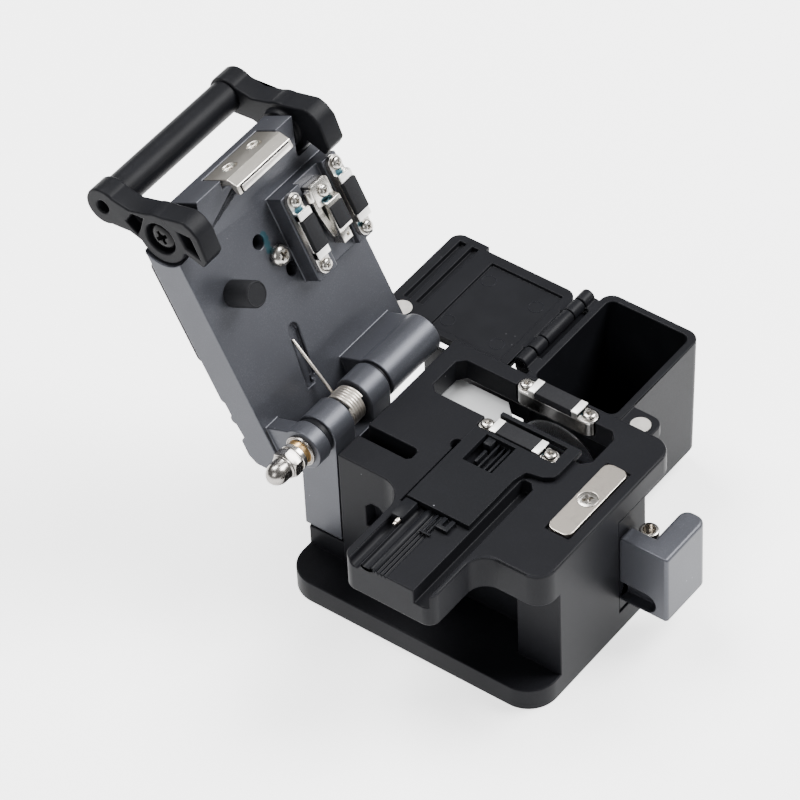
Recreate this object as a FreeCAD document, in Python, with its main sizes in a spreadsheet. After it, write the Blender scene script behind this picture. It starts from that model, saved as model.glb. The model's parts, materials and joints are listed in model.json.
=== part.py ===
import FreeCAD, Part

import math
import os
import types

import Sketcher

# Bench-top fibre cleaver: a machined base with a deck, a sliding blade carriage, a sprung lid
# with a bail handle, and a plastic bin for the fibre ends.
# Frame: origin at the centre of the base's underside, +X towards the bin, +Y towards the hinge,
# +Z up. Lengths are millimetres and angles are degrees. It is drawn as it rests on a bench:
# lid open, slider pulled out to the front, bin flap folded back.

V = FreeCAD.Vector

DIMENSIONS = [
    # Base, block and deck
    ("base_wide", 48.5), ("base_deep", 65.0), ("base_thick", 5.6), ("base_corner", 7.0),
    ("block_left", -15.45), ("block_wide", 20.9), ("pillar_deep", 10.9), ("recess_depth", 7.0),
    ("deck_top", 38.0), ("deck_thick", 5.6), ("lobe_thick", 8.6), ("deck_right", 25.7),
    ("deck_back", 22.9), ("tongue_left", 37.4), ("tongue_front", 16.9), ("tongue_back", 5.45),
    ("lobe_left", 21.1), ("deck_corner", 4.4), ("ledge_top", 10.7), ("window_high", 7.0),
    ("window_wide", 4.8),
    # Fibre bed and the slot in front of it
    ("channel_front", 15.8), ("channel_back", 12.4), ("channel_end", 0.3), ("channel_depth", 3.4),
    ("bed_drop", 1.9), ("groove_wide", 2.5), ("groove_deep", 1.7), ("fine_groove", 0.5),
    # Guide plate over the bed
    ("plate_thick", 1.3), ("plate_left", 17.6), ("plate_front", 11.8), ("plate_back", 3.6),
    ("plate_lobe", 18.4), ("plate_right", 12.7), ("plate_arm", 1.1),
    # Blade and slider
    ("blade_across", 20.0), ("blade_thick", 1.2), ("blade_ground", 2.4), ("blade_x", 16.0),
    ("blade_y", -10.2), ("hub_across", 2.96), ("hub_thread", 1.2), ("opening_left", 10.6),
    ("opening_right", 21.7), ("opening_back", 18.8), ("opening_front", 21.2),
    ("opening_bevel", 1.6), ("rail_wide", 7.0), ("rail_high", 3.4), ("rail_undercut", 0.8),
    ("foot_wide", 4.0), ("run_gap", 0.3), ("tail_long", 19.0), ("tail_thick", 2.4),
    ("tail_round", 2.2),
    # Knob and its roller
    ("knob_high", 18.3), ("knob_low", 9.4), ("knob_front", 44.1), ("knob_plate", 5.7),
    ("knob_right", 20.4), ("knob_stem", 4.0), ("knob_round", 2.3), ("knob_bevel", 0.5),
    ("knob_slot", 4.86), ("knob_slot_up", 2.9), ("knob_slot_reach", 0.27),
    ("knob_slot_deep", 2.6), ("shelf_thick", 3.2), ("roller_across", 4.25),
    ("roller_bore", 2.7), ("roller_in", 2.45), ("roller_back", 3.1), ("roller_sunk", 1.2),
    # Lower clamps
    ("clamp_wide", 3.9), ("clamp_long", 19.4), ("clamp_high", 5.2), ("near_clamp_x", 8.7),
    ("far_clamp_x", 22.6), ("clamp_mid_y", -5.4), ("screw_spacing", 15.8), ("pad_proud", 0.15),
    ("pad_long", 9.2), ("pad_deep", 1.6), ("end_block", 1.6), ("clamp_shank", 1.5),
    ("clamp_head", 2.9), ("clamp_head_high", 1.0), ("clamp_screw_long", 4.4),
    ("seat_gap", 0.15), ("seat_bevel", 1.2), ("hole_gap", 0.2),
    # Strike plate
    ("strike_long", 21.7), ("strike_wide", 5.6), ("strike_thick", 1.2), ("strike_x", 2.75),
    ("strike_y", -26.8), ("strike_proud", 0.4), ("strike_round", 1.8), ("strike_head", 4.1),
    ("strike_shank", 2.4),
    # Hinge
    ("hinge_y", 28.9), ("hinge_z", 39.4), ("barrel", 4.75), ("pin_across", 4.0),
    ("bracket_left", -14.35), ("bracket_gap", -7.6), ("bracket_gap_end", -1.7),
    ("bracket_right", 4.6), ("bracket_floor", 4.5), ("knuckle_left", -19.6),
    ("knuckle_left_end", -15.8), ("knuckle_right", 5.5), ("knuckle_right_end", 22.2),
    ("bush_across", 5.6), ("flange_across", 7.6), ("flange_thick", 0.9), ("bush_proud", 1.0),
    ("washer_thick", 1.2), ("nut_across", 6.4), ("nut_thick", 2.7), ("cap_thick", 1.5),
    ("cap_across", 5.6), ("cap_dome", 3.5), ("spring_wire", 0.75), ("spring_drop", 0.75),
    ("leg_tip_x", -2.85), ("leg_tip_out", 15.5), ("leg_slot_x", -6.7), ("leg_slot_wide", 3.5),
    ("leg_slot_long", 13.0), ("open_angle", 117.0),
    # Lid, in its own frame: across, out from the hinge, and down from the hinge when closed
    ("lid_lip", 0.45), ("lid_under", 7.6), ("lid_over", 16.2), ("lid_end", 46.3),
    ("lid_shoulder", 51.6), ("tip_end", 56.5), ("tip_under", 3.3), ("tip_over", 11.4),
    ("tip_mid", 2.9), ("tip_wide", 31.9), ("lid_heel", 5.0), ("lid_slot", 2.2),
    ("lid_slot_near", 4.9), ("lid_slot_near_x", -4.2), ("lid_slot_far", 18.7),
    ("lid_slot_far_x", -2.4), ("dowel_across", 3.1), ("dowel_far_x", 0.0),
    ("dowel_far_out", 37.9), ("dowel_near_x", 4.8), ("dowel_near_out", 28.2),
    ("lid_screw_x", 3.0), ("lid_screw_out", 32.6), ("lid_screw_head", 4.5),
    ("lid_screw_high", 1.6), ("lid_screw_shank", 2.4), ("yoke_wide", 17.6), ("yoke_x", 4.2),
    ("yoke_spacing", 8.1), ("yoke_head", 3.1), ("yoke_shank", 1.7), ("bumper_across", 5.8),
    ("bumper_stem", 2.9), ("bumper_x", -11.6), ("bumper_out", 33.2), ("top_pad_thick", 2.2),
    ("top_pad_in", 1.1), ("top_pad_near", 21.0), ("top_pad_far", 46.0),
    # Upper clamps and the anvil
    ("closed_gap", 0.35), ("anvil_left", 6.4), ("anvil_right", 24.9), ("anvil_near", 23.6),
    ("anvil_far", 43.9), ("anvil_step", 4.3), ("anvil_wide", 5.8), ("anvil_pad_wide", 3.7),
    ("anvil_pad_long", 5.8), ("channel_wide", 7.8), ("channel_deep", 1.6),
    ("upper_clamp_wide", 3.6), ("upper_pad_long", 7.6), ("upper_end_block", 1.9),
    # Handle
    ("pivot_out", 52.4), ("pivot_up", 10.1), ("arm_thick", 5.2), ("arm_gap", 0.4),
    ("arm_inset", 1.8), ("arm_pocket", 2.6), ("bar_out", 60.1), ("bar_up", 22.8),
    ("bar_across", 7.3), ("bar_round", 4.3), ("bar_hole", 3.0), ("pivot_round", 6.1),
    ("pivot_boss", 9.2), ("foot_reach", 1.0), ("pivot_screw", 6.4), ("pivot_shank", 2.9),
    ("head_sunk", 2.6),
    # Bin and flap
    ("bin_gap", 0.05), ("bin_right", 57.4), ("bin_front", 17.7), ("bin_back", 6.2),
    ("bin_low", 4.7), ("bin_top", 35.55), ("bin_wall", 1.8), ("bin_round", 3.0), ("bin_draft", 1.4),
    ("tab_reach", 3.6), ("tab_thick", 3.0), ("flap_z", 36.0),
    ("flap_y", 8.6), ("flap_right", 52.8), ("flap_long", 34.6), ("flap_thick", 2.0),
    ("flap_round", 2.6), ("flap_barrel", 3.2), ("flap_pin", 1.5), ("grip_long", 8.6),
    ("grip_over", 1.2), ("magnet_across", 4.4), ("magnet_thick", 1.2), ("magnet_x", 28.6),
    ("magnet_y", -21.9),
]

# Shapes of screw heads, as shares of the head's width and height
HEAD_TOP = 0.62
RECESS_DEEP = 0.6
RECESS_LONG = 0.6
RECESS_WIDE = 0.14
# How far a cutting shape runs past the face it cuts, in millimetres
CUT_PAST = 1.0
# Rounding of a clamp bar's ends, as a share of its width
END_ROUND = 0.48
# Coils of the lid's spring, and how far round its lower leg lies from straight down
COILS = 6
FOOT_TURN = math.radians(45)

document = FreeCAD.newDocument("FibreCleaver")
sheet = document.addObject("Spreadsheet::Sheet", "Sizes")
for row, (alias, number) in enumerate(DIMENSIONS, start=1):
    sheet.set("A%d" % row, alias)
    sheet.set("B%d" % row, repr(number))
    sheet.setAlias("B%d" % row, alias)
document.recompute()


class Size:
    """A length that knows its value and the expression that gives it from the sheet."""

    def __init__(self, value, text):
        self.value = value
        self.text = text

    def __add__(self, other):
        other = size(other)
        return Size(self.value + other.value, "(%s + %s)" % (self.text, other.text))

    def __sub__(self, other):
        other = size(other)
        return Size(self.value - other.value, "(%s - %s)" % (self.text, other.text))

    def __mul__(self, other):
        other = size(other)
        return Size(self.value * other.value, "(%s * %s)" % (self.text, other.text))

    def __truediv__(self, other):
        other = size(other)
        return Size(self.value / other.value, "(%s / %s)" % (self.text, other.text))

    def __radd__(self, other):
        return size(other) + self

    def __rsub__(self, other):
        return size(other) - self

    def __rmul__(self, other):
        return size(other) * self

    def __neg__(self):
        return Size(-self.value, "(-%s)" % self.text)


def size(number):
    if isinstance(number, Size):
        return number
    return Size(float(number), "(%.6f)" % number)


d = types.SimpleNamespace()
for alias, number in DIMENSIONS:
    setattr(d, alias, Size(float(sheet.get(alias)), "Sizes." + alias))

nodes = []
names_used = {}


def free_name(stem):
    names_used[stem] = names_used.get(stem, 0) + 1
    return "%s_%d" % (stem, names_used[stem])


def bind(item, place, number):
    item.setExpression(place, size(number).text)


def keep(item, name):
    """Name a finished piece as a sub-part of its own."""
    item.Label = name
    nodes.append(item)
    return item


def in_lid_frame(item):
    """Turn a piece that was drawn on the closed lid, about the hinge, to the open lid."""
    if item.TypeId in ("Part::Box", "Part::Cylinder"):
        item = group([item])
    item.Placement = FreeCAD.Placement(V(0, 0, 0), FreeCAD.Rotation(V(-1, 0, 0), 1))
    bind(item, "Placement.Rotation.Angle", d.open_angle)
    bind(item, "Placement.Base.y", d.hinge_y)
    bind(item, "Placement.Base.z", d.hinge_z)
    return item


# Primitives and booleans
def box(x, y, z, stem="block"):
    """A box between two values on each axis."""
    item = document.addObject("Part::Box", free_name(stem))
    for axis, side, (low, high) in (("x", "Length", x), ("y", "Width", y), ("z", "Height", z)):
        bind(item, "Placement.Base." + axis, low)
        bind(item, side, size(high) - low)
    return item


TURNS = {"x": FreeCAD.Rotation(V(0, 1, 0), 90), "y": FreeCAD.Rotation(V(1, 0, 0), -90),
         "z": FreeCAD.Rotation()}


def rod(axis, across, centre, ends, stem="rod", kind="Part::Cylinder", tip=None):
    """A cylinder, or a cone when tip is given, along an axis between two values."""
    item = document.addObject(kind, free_name(stem))
    item.Placement = FreeCAD.Placement(V(0, 0, 0), TURNS[axis])
    low, high = ends
    if kind == "Part::Cylinder":
        bind(item, "Radius", size(across) / 2)
    else:
        bind(item, "Radius1", size(across) / 2)
        bind(item, "Radius2", size(tip) / 2)
    bind(item, "Height", size(high) - low)
    others = [name for name in "xyz" if name != axis]
    bind(item, "Placement.Base." + axis, low)
    bind(item, "Placement.Base." + others[0], centre[0])
    bind(item, "Placement.Base." + others[1], centre[1])
    return item


def cone(axis, across, tip, centre, ends, stem="cone"):
    return rod(axis, across, centre, ends, stem, "Part::Cone", tip)


def join(parts, stem="joined"):
    item = document.addObject("Part::MultiFuse", free_name(stem))
    item.Shapes = parts
    return item


def cut(base, *tools):
    item = document.addObject("Part::Cut", free_name("cut"))
    item.Base = base
    item.Tool = tools[0] if len(tools) == 1 else join(list(tools), "tools")
    return item


def group(parts, stem="group"):
    item = document.addObject("Part::Compound", free_name(stem))
    item.Links = parts
    return item


# Bodies made from sketches
PLANES = {"top": ("XY_Plane", 1), "front": ("XZ_Plane", -1), "side": ("YZ_Plane", 1)}


class Piece:
    """A body that is built up from outlines on the top, front or side planes."""

    def __init__(self, name):
        self.body = document.addObject("PartDesign::Body", free_name("body"))
        self.name = name

    def sketch(self, plane, start, outlines):
        role, _ = PLANES[plane]
        item = self.body.newObject("Sketcher::SketchObject", free_name("outline"))
        origin = [part for part in self.body.Origin.OriginFeatures if part.Role == role]
        item.AttachmentSupport = [(origin[0], "")]
        item.MapMode = "FlatFace"
        bind(item, "AttachmentOffset.Base.z", start)
        for outline in outlines:
            if outline[0] == "circle":
                self.circle(item, *outline[1:])
            else:
                self.polygon(item, outline)
        return item

    def place(self, item, line, spot, point):
        for kind, number in (("DistanceX", point[0]), ("DistanceY", point[1])):
            at = item.addConstraint(Sketcher.Constraint(kind, line, spot, size(number).value))
            bind(item, "Constraints[%d]" % at, number)

    def polygon(self, item, points):
        first = item.GeometryCount
        count = len(points)
        flat = [V(size(x).value, size(y).value, 0) for x, y in points]
        for number in range(count):
            item.addGeometry(Part.LineSegment(flat[number], flat[(number + 1) % count]), False)
        for number in range(count):
            after = first + (number + 1) % count
            item.addConstraint(Sketcher.Constraint("Coincident", first + number, 2, after, 1))
        for number, point in enumerate(points):
            self.place(item, first + number, 1, point)

    def circle(self, item, x, y, across):
        centre = V(size(x).value, size(y).value, 0)
        radius = size(across) / 2
        at = item.addGeometry(Part.Circle(centre, V(0, 0, 1), radius.value), False)
        self.place(item, at, 3, (x, y))
        rim = item.addConstraint(Sketcher.Constraint("Radius", at, radius.value))
        bind(item, "Constraints[%d]" % rim, radius)

    def extrude(self, kind, plane, low, high, outlines):
        sign = PLANES[plane][1]
        start = size(low) if sign > 0 else -size(high)
        item = self.sketch(plane, start, outlines)
        feature = self.body.newObject(kind, free_name("feature"))
        feature.Profile = item
        bind(feature, "Length", size(high) - low)
        return feature

    def add(self, plane, low, high, *outlines):
        self.extrude("PartDesign::Pad", plane, low, high, outlines)
        return self

    def take(self, plane, low, high, *outlines):
        before = self.volume()
        feature = self.extrude("PartDesign::Pocket", plane, low, high, outlines)
        feature.Reversed = True
        if self.volume() > before - 1e-6:
            raise ValueError("a pocket in %s cuts nothing" % self.name)
        return self

    def volume(self):
        document.recompute()
        return self.body.Shape.Volume

    def turn(self, outline):
        """Spin an outline on the front plane about the X axis."""
        item = self.sketch("front", 0, [outline])
        feature = self.body.newObject("PartDesign::Revolution", free_name("feature"))
        feature.Profile = item
        feature.ReferenceAxis = (item, ["H_Axis"])
        feature.Angle = 360.0
        return self

    def ease(self, kind, radius, chosen):
        """Round or bevel the edges that chosen(middle, direction) accepts."""
        document.recompute()
        shape = self.body.Shape
        names = []
        for number, edge in enumerate(shape.Edges, start=1):
            if edge.Length < 1e-6:
                continue
            first, last = edge.FirstParameter, edge.LastParameter
            middle = edge.valueAt((first + last) / 2)
            along = edge.tangentAt((first + last) / 2)
            straight = isinstance(edge.Curve, (Part.Line, Part.LineSegment))
            if chosen(middle, along, straight):
                names.append("Edge%d" % number)
        if not names:
            raise ValueError("no edge of %s to ease" % self.name)
        before = self.body.Tip
        feature = self.body.newObject(kind, free_name("feature"))
        feature.Base = (before, names)
        bind(feature, "Radius" if kind.endswith("Fillet") else "Size", radius)
        return self

    def round(self, radius, chosen):
        return self.ease("PartDesign::Fillet", radius, chosen)

    def bevel(self, width, chosen):
        return self.ease("PartDesign::Chamfer", width, chosen)

    def done(self, lid=False):
        if lid:
            in_lid_frame(self.body)
        return keep(self.body, self.name)


def rectangle(x, y):
    (left, right), (front, back) = x, y
    return [(left, front), (right, front), (right, back), (left, back)]


def near(first, second):
    return abs(first - size(second).value) < 0.02


def upright(x, y):
    """The upright edge at a place seen from above."""
    return lambda middle, along, straight: (
        straight and abs(along.z) > 0.99 and near(middle.x, x) and near(middle.y, y))


def any_of(*tests):
    return lambda middle, along, straight: any(test(middle, along, straight) for test in tests)


def pan_screw(axis, centre, seat, sign, head, high, shank, long, stem):
    """A tapered pan head with a cross recess, its seat at a value on the axis."""
    top = size(seat) + size(high) * sign
    tip = size(seat) - size(long) * sign
    crown = size(head) * HEAD_TOP
    if sign > 0:
        head_body = cone(axis, head, crown, centre, (seat, top), stem)
        shank_ends = (tip, seat)
        slot_ends = (top - size(high) * RECESS_DEEP, top + CUT_PAST)
    else:
        head_body = cone(axis, crown, head, centre, (top, seat), stem)
        shank_ends = (seat, tip)
        slot_ends = (top - CUT_PAST, top + size(high) * RECESS_DEEP)
    whole = join([head_body, rod(axis, shank, centre, shank_ends, stem)], stem)
    half_long = size(head) * RECESS_LONG / 2
    half_wide = size(head) * RECESS_WIDE / 2
    first, second = [name for name in "xyz" if name != axis]
    middle = {first: centre[0], second: centre[1]}
    slots = []
    for wide, narrow in ((first, second), (second, first)):
        spans = {axis: slot_ends}
        for name, half in ((wide, half_long), (narrow, half_wide)):
            spans[name] = (middle[name] - half, middle[name] + half)
        slots.append(box(spans["x"], spans["y"], spans["z"], stem))
    return cut(whole, *slots)


# Places that several pieces share
base_left = -d.base_wide / 2
base_front = -d.base_deep / 2
base_back = d.base_deep / 2
block_left = d.block_left
block_right = block_left + d.block_wide
pillar_back = base_front + d.pillar_deep
deck_under = d.deck_top - d.deck_thick
lobe_under = d.deck_top - d.lobe_thick
plate_top = d.deck_top + d.plate_thick
pad_top = plate_top + d.pad_proud
clamp_front = d.clamp_mid_y - d.clamp_long / 2
clamp_back = d.clamp_mid_y + d.clamp_long / 2
clamp_seat = pad_top - d.pad_proud - d.clamp_high
screw_places = (d.clamp_mid_y - d.screw_spacing / 2, d.clamp_mid_y + d.screw_spacing / 2)
clamp_hole = d.clamp_shank + d.hole_gap
bed_floor = d.deck_top - d.bed_drop
carriage_right = d.blade_x - d.blade_thick / 2 - d.run_gap
blade_z = plate_top - 0.1 - d.blade_across / 2
bin_left = d.deck_right + d.bin_gap
carriage_front = base_front + 0.2
carriage_back = d.blade_y + 11.2
carriage_top = deck_under - 0.4
rail_left = block_right + 3.4
rail_right = rail_left + d.rail_wide
rail_top = d.base_thick + d.rail_high
bush_end = d.knuckle_left - d.flange_thick - d.bush_proud
bin_lugs = ((bin_left + 3.0, bin_left + 7.0), (d.bin_right - 7.0, d.bin_right - 3.6))
flap_lugs = ((bin_left + 7.3, bin_left + 11.0), (d.bin_right - 11.0, d.bin_right - 7.3))


def main_body():
    """Base plate, front pillar, rear block, deck and tongue, machined from one block."""
    piece = Piece("main_body")
    piece.add("top", 0, d.base_thick, rectangle((base_left, -base_left), (base_front, base_back)))
    corners = [upright(x, y) for x in (base_left, -base_left) for y in (base_front, base_back)]
    piece.round(d.base_corner, any_of(*corners))
    outline = [(-d.lobe_left, base_front), (d.deck_right, base_front),
               (d.deck_right, d.deck_back), (block_left, d.deck_back),
               (block_left, d.tongue_back), (-d.tongue_left, d.tongue_back),
               (-d.tongue_left, -d.tongue_front), (-d.lobe_left, -d.tongue_front)]
    piece.add("top", d.base_thick, lobe_under + 0.5,
              rectangle((block_left, block_right), (base_front, d.deck_back)))
    piece.add("top", lobe_under, d.deck_top, outline)
    rounded = (outline[0], outline[1], outline[7])
    piece.round(d.deck_corner, any_of(*[upright(*point) for point in rounded]))
    piece.round(d.deck_corner * 1.4, upright(*outline[4]))
    piece.round(d.deck_corner * 0.6, any_of(upright(*outline[5]), upright(*outline[6])))
    piece.take("top", lobe_under - 1, deck_under,
               rectangle((block_right, d.deck_right + 1), (base_front - 1, d.deck_back + 1)))
    recess_back = d.tongue_back
    piece.take("top", d.base_thick, lobe_under,
               rectangle((block_left - 1, block_left + d.recess_depth),
                         (pillar_back, recess_back)))
    piece.round(2.4, any_of(upright(block_left + d.recess_depth, pillar_back),
                            upright(block_left + d.recess_depth, recess_back)))
    piece.add("top", d.base_thick - 0.5, d.ledge_top,
              rectangle((block_left + 0.8, block_right - 0.4), (d.deck_back - 1, base_back)))
    window_z = lobe_under - 8.4
    window_mid = d.tongue_back + 8.5
    half = d.window_wide / 2
    piece.take("side", block_left - 1, block_left + 3.2,
               [(window_mid - half, window_z), (window_mid + half, window_z),
                (window_mid + half, window_z + d.window_high - 1.4),
                (window_mid + half - 1.4, window_z + d.window_high),
                (window_mid - half + 1.4, window_z + d.window_high),
                (window_mid - half, window_z + d.window_high - 1.4)])
    open_deck(piece)
    shape_bed(piece)
    top_edges = lambda middle, along, straight: (
        near(middle.z, d.deck_top) and straight and near(middle.y, base_front))
    piece.bevel(0.35, top_edges)
    return piece.done()


def open_deck(piece):
    """Blade opening, clamp seats, spring slot and strike-plate seat."""
    through = (deck_under - CUT_PAST, d.deck_top + CUT_PAST)
    left, right = d.opening_left, d.opening_right
    piece.take("top", *through, bevelled((left, right), (-d.opening_front, d.opening_back),
                                         d.opening_bevel))
    half = d.clamp_wide / 2 + d.seat_gap
    inside = d.seat_gap
    for x, outer in ((d.near_clamp_x, -1), (d.far_clamp_x, 1)):
        wall = x + half * outer
        edge = left + inside if outer < 0 else right - inside
        piece.take("top", clamp_seat, d.deck_top + CUT_PAST,
                   seat_outline(wall, edge, (clamp_front - d.seat_gap, clamp_back + d.seat_gap)))
        for y in screw_places:
            piece.take("top", clamp_seat - 1.0, clamp_seat + CUT_PAST,
                       ["circle", x, y, d.clamp_shank + d.hole_gap])
    slot_mid = d.leg_slot_x
    slot_front = d.deck_back - d.leg_slot_long
    piece.take("top", lobe_under - 0.1, d.deck_top + CUT_PAST,
               bevelled((slot_mid - d.leg_slot_wide / 2, slot_mid + d.leg_slot_wide / 2),
                        (slot_front, d.deck_back + 2), 0.8))
    x, y = d.strike_long / 2 + d.seat_gap, d.strike_wide / 2 + d.seat_gap
    piece.take("top", d.deck_top + d.strike_proud - d.strike_thick, d.deck_top + CUT_PAST,
               rectangle((d.strike_x - x, d.strike_x + x), (d.strike_y - y, d.strike_y + y)))
    piece.take("top", d.deck_top - 4.5, d.deck_top + CUT_PAST,
               ["circle", d.strike_x, d.strike_y, d.strike_shank + d.hole_gap])


def bevelled(x, y, bevel):
    """A rectangle with its four corners cut off."""
    (left, right), (front, back) = x, y
    return [(left + bevel, front), (right - bevel, front), (right, front + bevel),
            (right, back - bevel), (right - bevel, back), (left + bevel, back),
            (left, back - bevel), (left, front + bevel)]


def seat_outline(wall, edge, y):
    """A clamp's seat: its outer corners are cut off, and it is open to the blade opening."""
    front, back = y
    inward = 1 if size(edge).value > size(wall).value else -1
    bevel = d.seat_bevel * inward
    points = [(wall, front + d.seat_bevel), (wall + bevel, front), (edge, front),
              (edge, back), (wall + bevel, back), (wall, back - d.seat_bevel)]
    return points


def shape_bed(piece):
    """Deep slot beside the fibre bed, the bed's long grooves and the drop under the plate."""
    left = -d.tongue_left - 1
    piece.take("top", d.deck_top - d.channel_depth, d.deck_top + 1,
               [(left, -d.channel_front), (d.channel_end - 1.5, -d.channel_front),
                (d.channel_end, -d.channel_front + 1.4), (d.channel_end, -d.channel_back - 0.6),
                (d.channel_end - 0.6, -d.channel_back), (left, -d.channel_back)])
    piece.take("top", bed_floor, d.deck_top + 1,
               rectangle((-d.plate_left + 0.4, d.near_clamp_x - 3.2), (-d.channel_back + 0.9, 2.2)))
    wall = d.tongue_back - 2.0
    first = (wall - d.groove_wide, wall)
    second = (first[0] - 0.5 - d.groove_wide, first[0] - 0.5)
    end = -d.plate_left + 2
    z = d.deck_top
    for (low, high), deep in ((first, d.groove_deep), (second, d.groove_deep * 0.5)):
        piece.take("side", left, end, [(low, z + 1), (low, z - deep * 0.6),
                                       (low + d.groove_wide * 0.3, z - deep),
                                       (high - d.groove_wide * 0.3, z - deep),
                                       (high, z - deep * 0.6), (high, z + 1)])
    fine = []
    for number in range(4):
        middle = second[0] - 0.7 - number * 0.9
        fine.append([(middle - d.fine_groove / 2, z + 1), (middle - d.fine_groove / 2, z),
                     (middle, z - d.fine_groove), (middle + d.fine_groove / 2, z),
                     (middle + d.fine_groove / 2, z + 1)])
    piece.take("side", left, end, *fine)


def guide_plate():
    """Thin plate over the bed: a wide left part, a front lobe and a narrow arm by the blade."""
    piece = Piece("fibre_guide_plate")
    left, right = -d.plate_left, d.plate_right
    front, lobe, back = -d.plate_front, -d.plate_lobe, d.plate_back
    window_left = d.near_clamp_x - d.clamp_wide / 2 - 0.3
    piece.add("top", d.deck_top, plate_top,
              [(left, front), (-2.0, front), (1.2, front - 0.8), (1.9, lobe + 2.2),
               (3.2, lobe + 0.3), (4.6, lobe), (right, lobe), (right, 1.4),
               (right - d.plate_arm, 1.4), (right - d.plate_arm, clamp_front - 0.5),
               (window_left, clamp_front - 0.5), (window_left, back), (left, back)])
    piece.take("top", d.deck_top - 1, plate_top + 1,
               rectangle((window_left - 9.4, window_left - 0.9), (-6.9, 0.4)))
    piece.round(0.9, any_of(upright(3.2, lobe + 0.3), upright(1.2, front - 0.8),
                            upright(1.9, lobe + 2.2)))
    return piece.done()


def bed_fittings():
    """The small block, clip and pin on the bed at the plate's left end."""
    floor = d.deck_top
    stop = box((-d.plate_left - 6.4, -d.plate_left - 2.6), (0.2, 2.6), (floor, floor + 1.5))
    keep(stop, "guide_block")
    clip_left = -d.plate_left - 3.4
    frame = box((clip_left, clip_left + 3.0), (-9.0, -6.2), (floor, floor + 1.1))
    slot = box((clip_left + 0.9, clip_left + 4), (-8.2, -7.0), (floor - 1, floor + 2))
    keep(cut(frame, slot), "guide_clip")
    ends = (-d.plate_left - 8.0, -d.plate_left - 6.4)
    keep(rod("x", 1.2, (1.3, floor + 0.8), ends), "guide_pin")


def lower_clamps():
    """Two steel bars beside the blade, each with a rubber pad let into its top."""
    half = d.clamp_wide / 2
    pad_ends = (d.clamp_mid_y - d.pad_long / 2, d.clamp_mid_y + d.pad_long / 2)
    for name, x in (("near", d.near_clamp_x), ("far", d.far_clamp_x)):
        piece = Piece("%s_lower_clamp" % name)
        top = plate_top
        ends = (pad_ends[0] - d.end_block, pad_ends[1] + d.end_block)
        step = top - d.clamp_head_high - 0.3
        pad_floor = top - d.pad_deep
        profile = [(clamp_front, clamp_seat), (clamp_back, clamp_seat), (clamp_back, step),
                   (ends[1], step), (ends[1], top), (pad_ends[1], top),
                   (pad_ends[1], pad_floor), (pad_ends[0], pad_floor), (pad_ends[0], top),
                   (ends[0], top), (ends[0], step), (clamp_front, step)]
        piece.add("side", x - half, x + half, profile)
        corners = [upright(a, b) for a in (x - half, x + half) for b in (clamp_front, clamp_back)]
        piece.round(d.clamp_wide * END_ROUND, any_of(*corners))
        for y in screw_places:
            piece.take("top", clamp_seat - CUT_PAST, top, ["circle", x, y, clamp_hole])
        piece.done()
        pad = box((x - half, x + half), pad_ends, (pad_floor, pad_top))
        keep(pad, "%s_lower_pad" % name)
        screws = [pan_screw("z", (x, y), step, 1, d.clamp_head, d.clamp_head_high, d.clamp_shank,
                            d.clamp_screw_long, "clamp_screw") for y in screw_places]
        keep(group(screws), "%s_clamp_screws" % name)


def strike():
    """Steel plate that the lid's magnet lands on, and its countersunk screw."""
    piece = Piece("strike_plate")
    x, y = d.strike_long / 2, d.strike_wide / 2
    top = d.deck_top + d.strike_proud
    left, right = d.strike_x - x, d.strike_x + x
    front, back = d.strike_y - y, d.strike_y + y
    piece.add("top", top - d.strike_thick, top, rectangle((left, right), (front, back)))
    ends = [upright(a, b) for a in (left, right) for b in (front, back)]
    piece.round(d.strike_round, any_of(*ends))
    piece.take("top", top - 0.8, top + 1,
               ["circle", d.strike_x, d.strike_y, d.strike_head + d.hole_gap])
    piece.take("top", top - 2, top + 1,
               ["circle", d.strike_x, d.strike_y, d.strike_shank + d.hole_gap])
    piece.done()
    middle = (d.strike_x, d.strike_y)
    head = rod("z", d.strike_head, middle, (top - 0.8, top))
    shank = rod("z", d.strike_shank, middle, (top - d.strike_thick - 2.9, top - 0.7))
    slots = [box((d.strike_x - a, d.strike_x + a), (d.strike_y - b, d.strike_y + b),
                 (top - 0.55, top + 1)) for a, b in ((1.3, 0.3), (0.3, 1.3))]
    keep(cut(join([head, shank]), *slots), "strike_screw")


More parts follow.
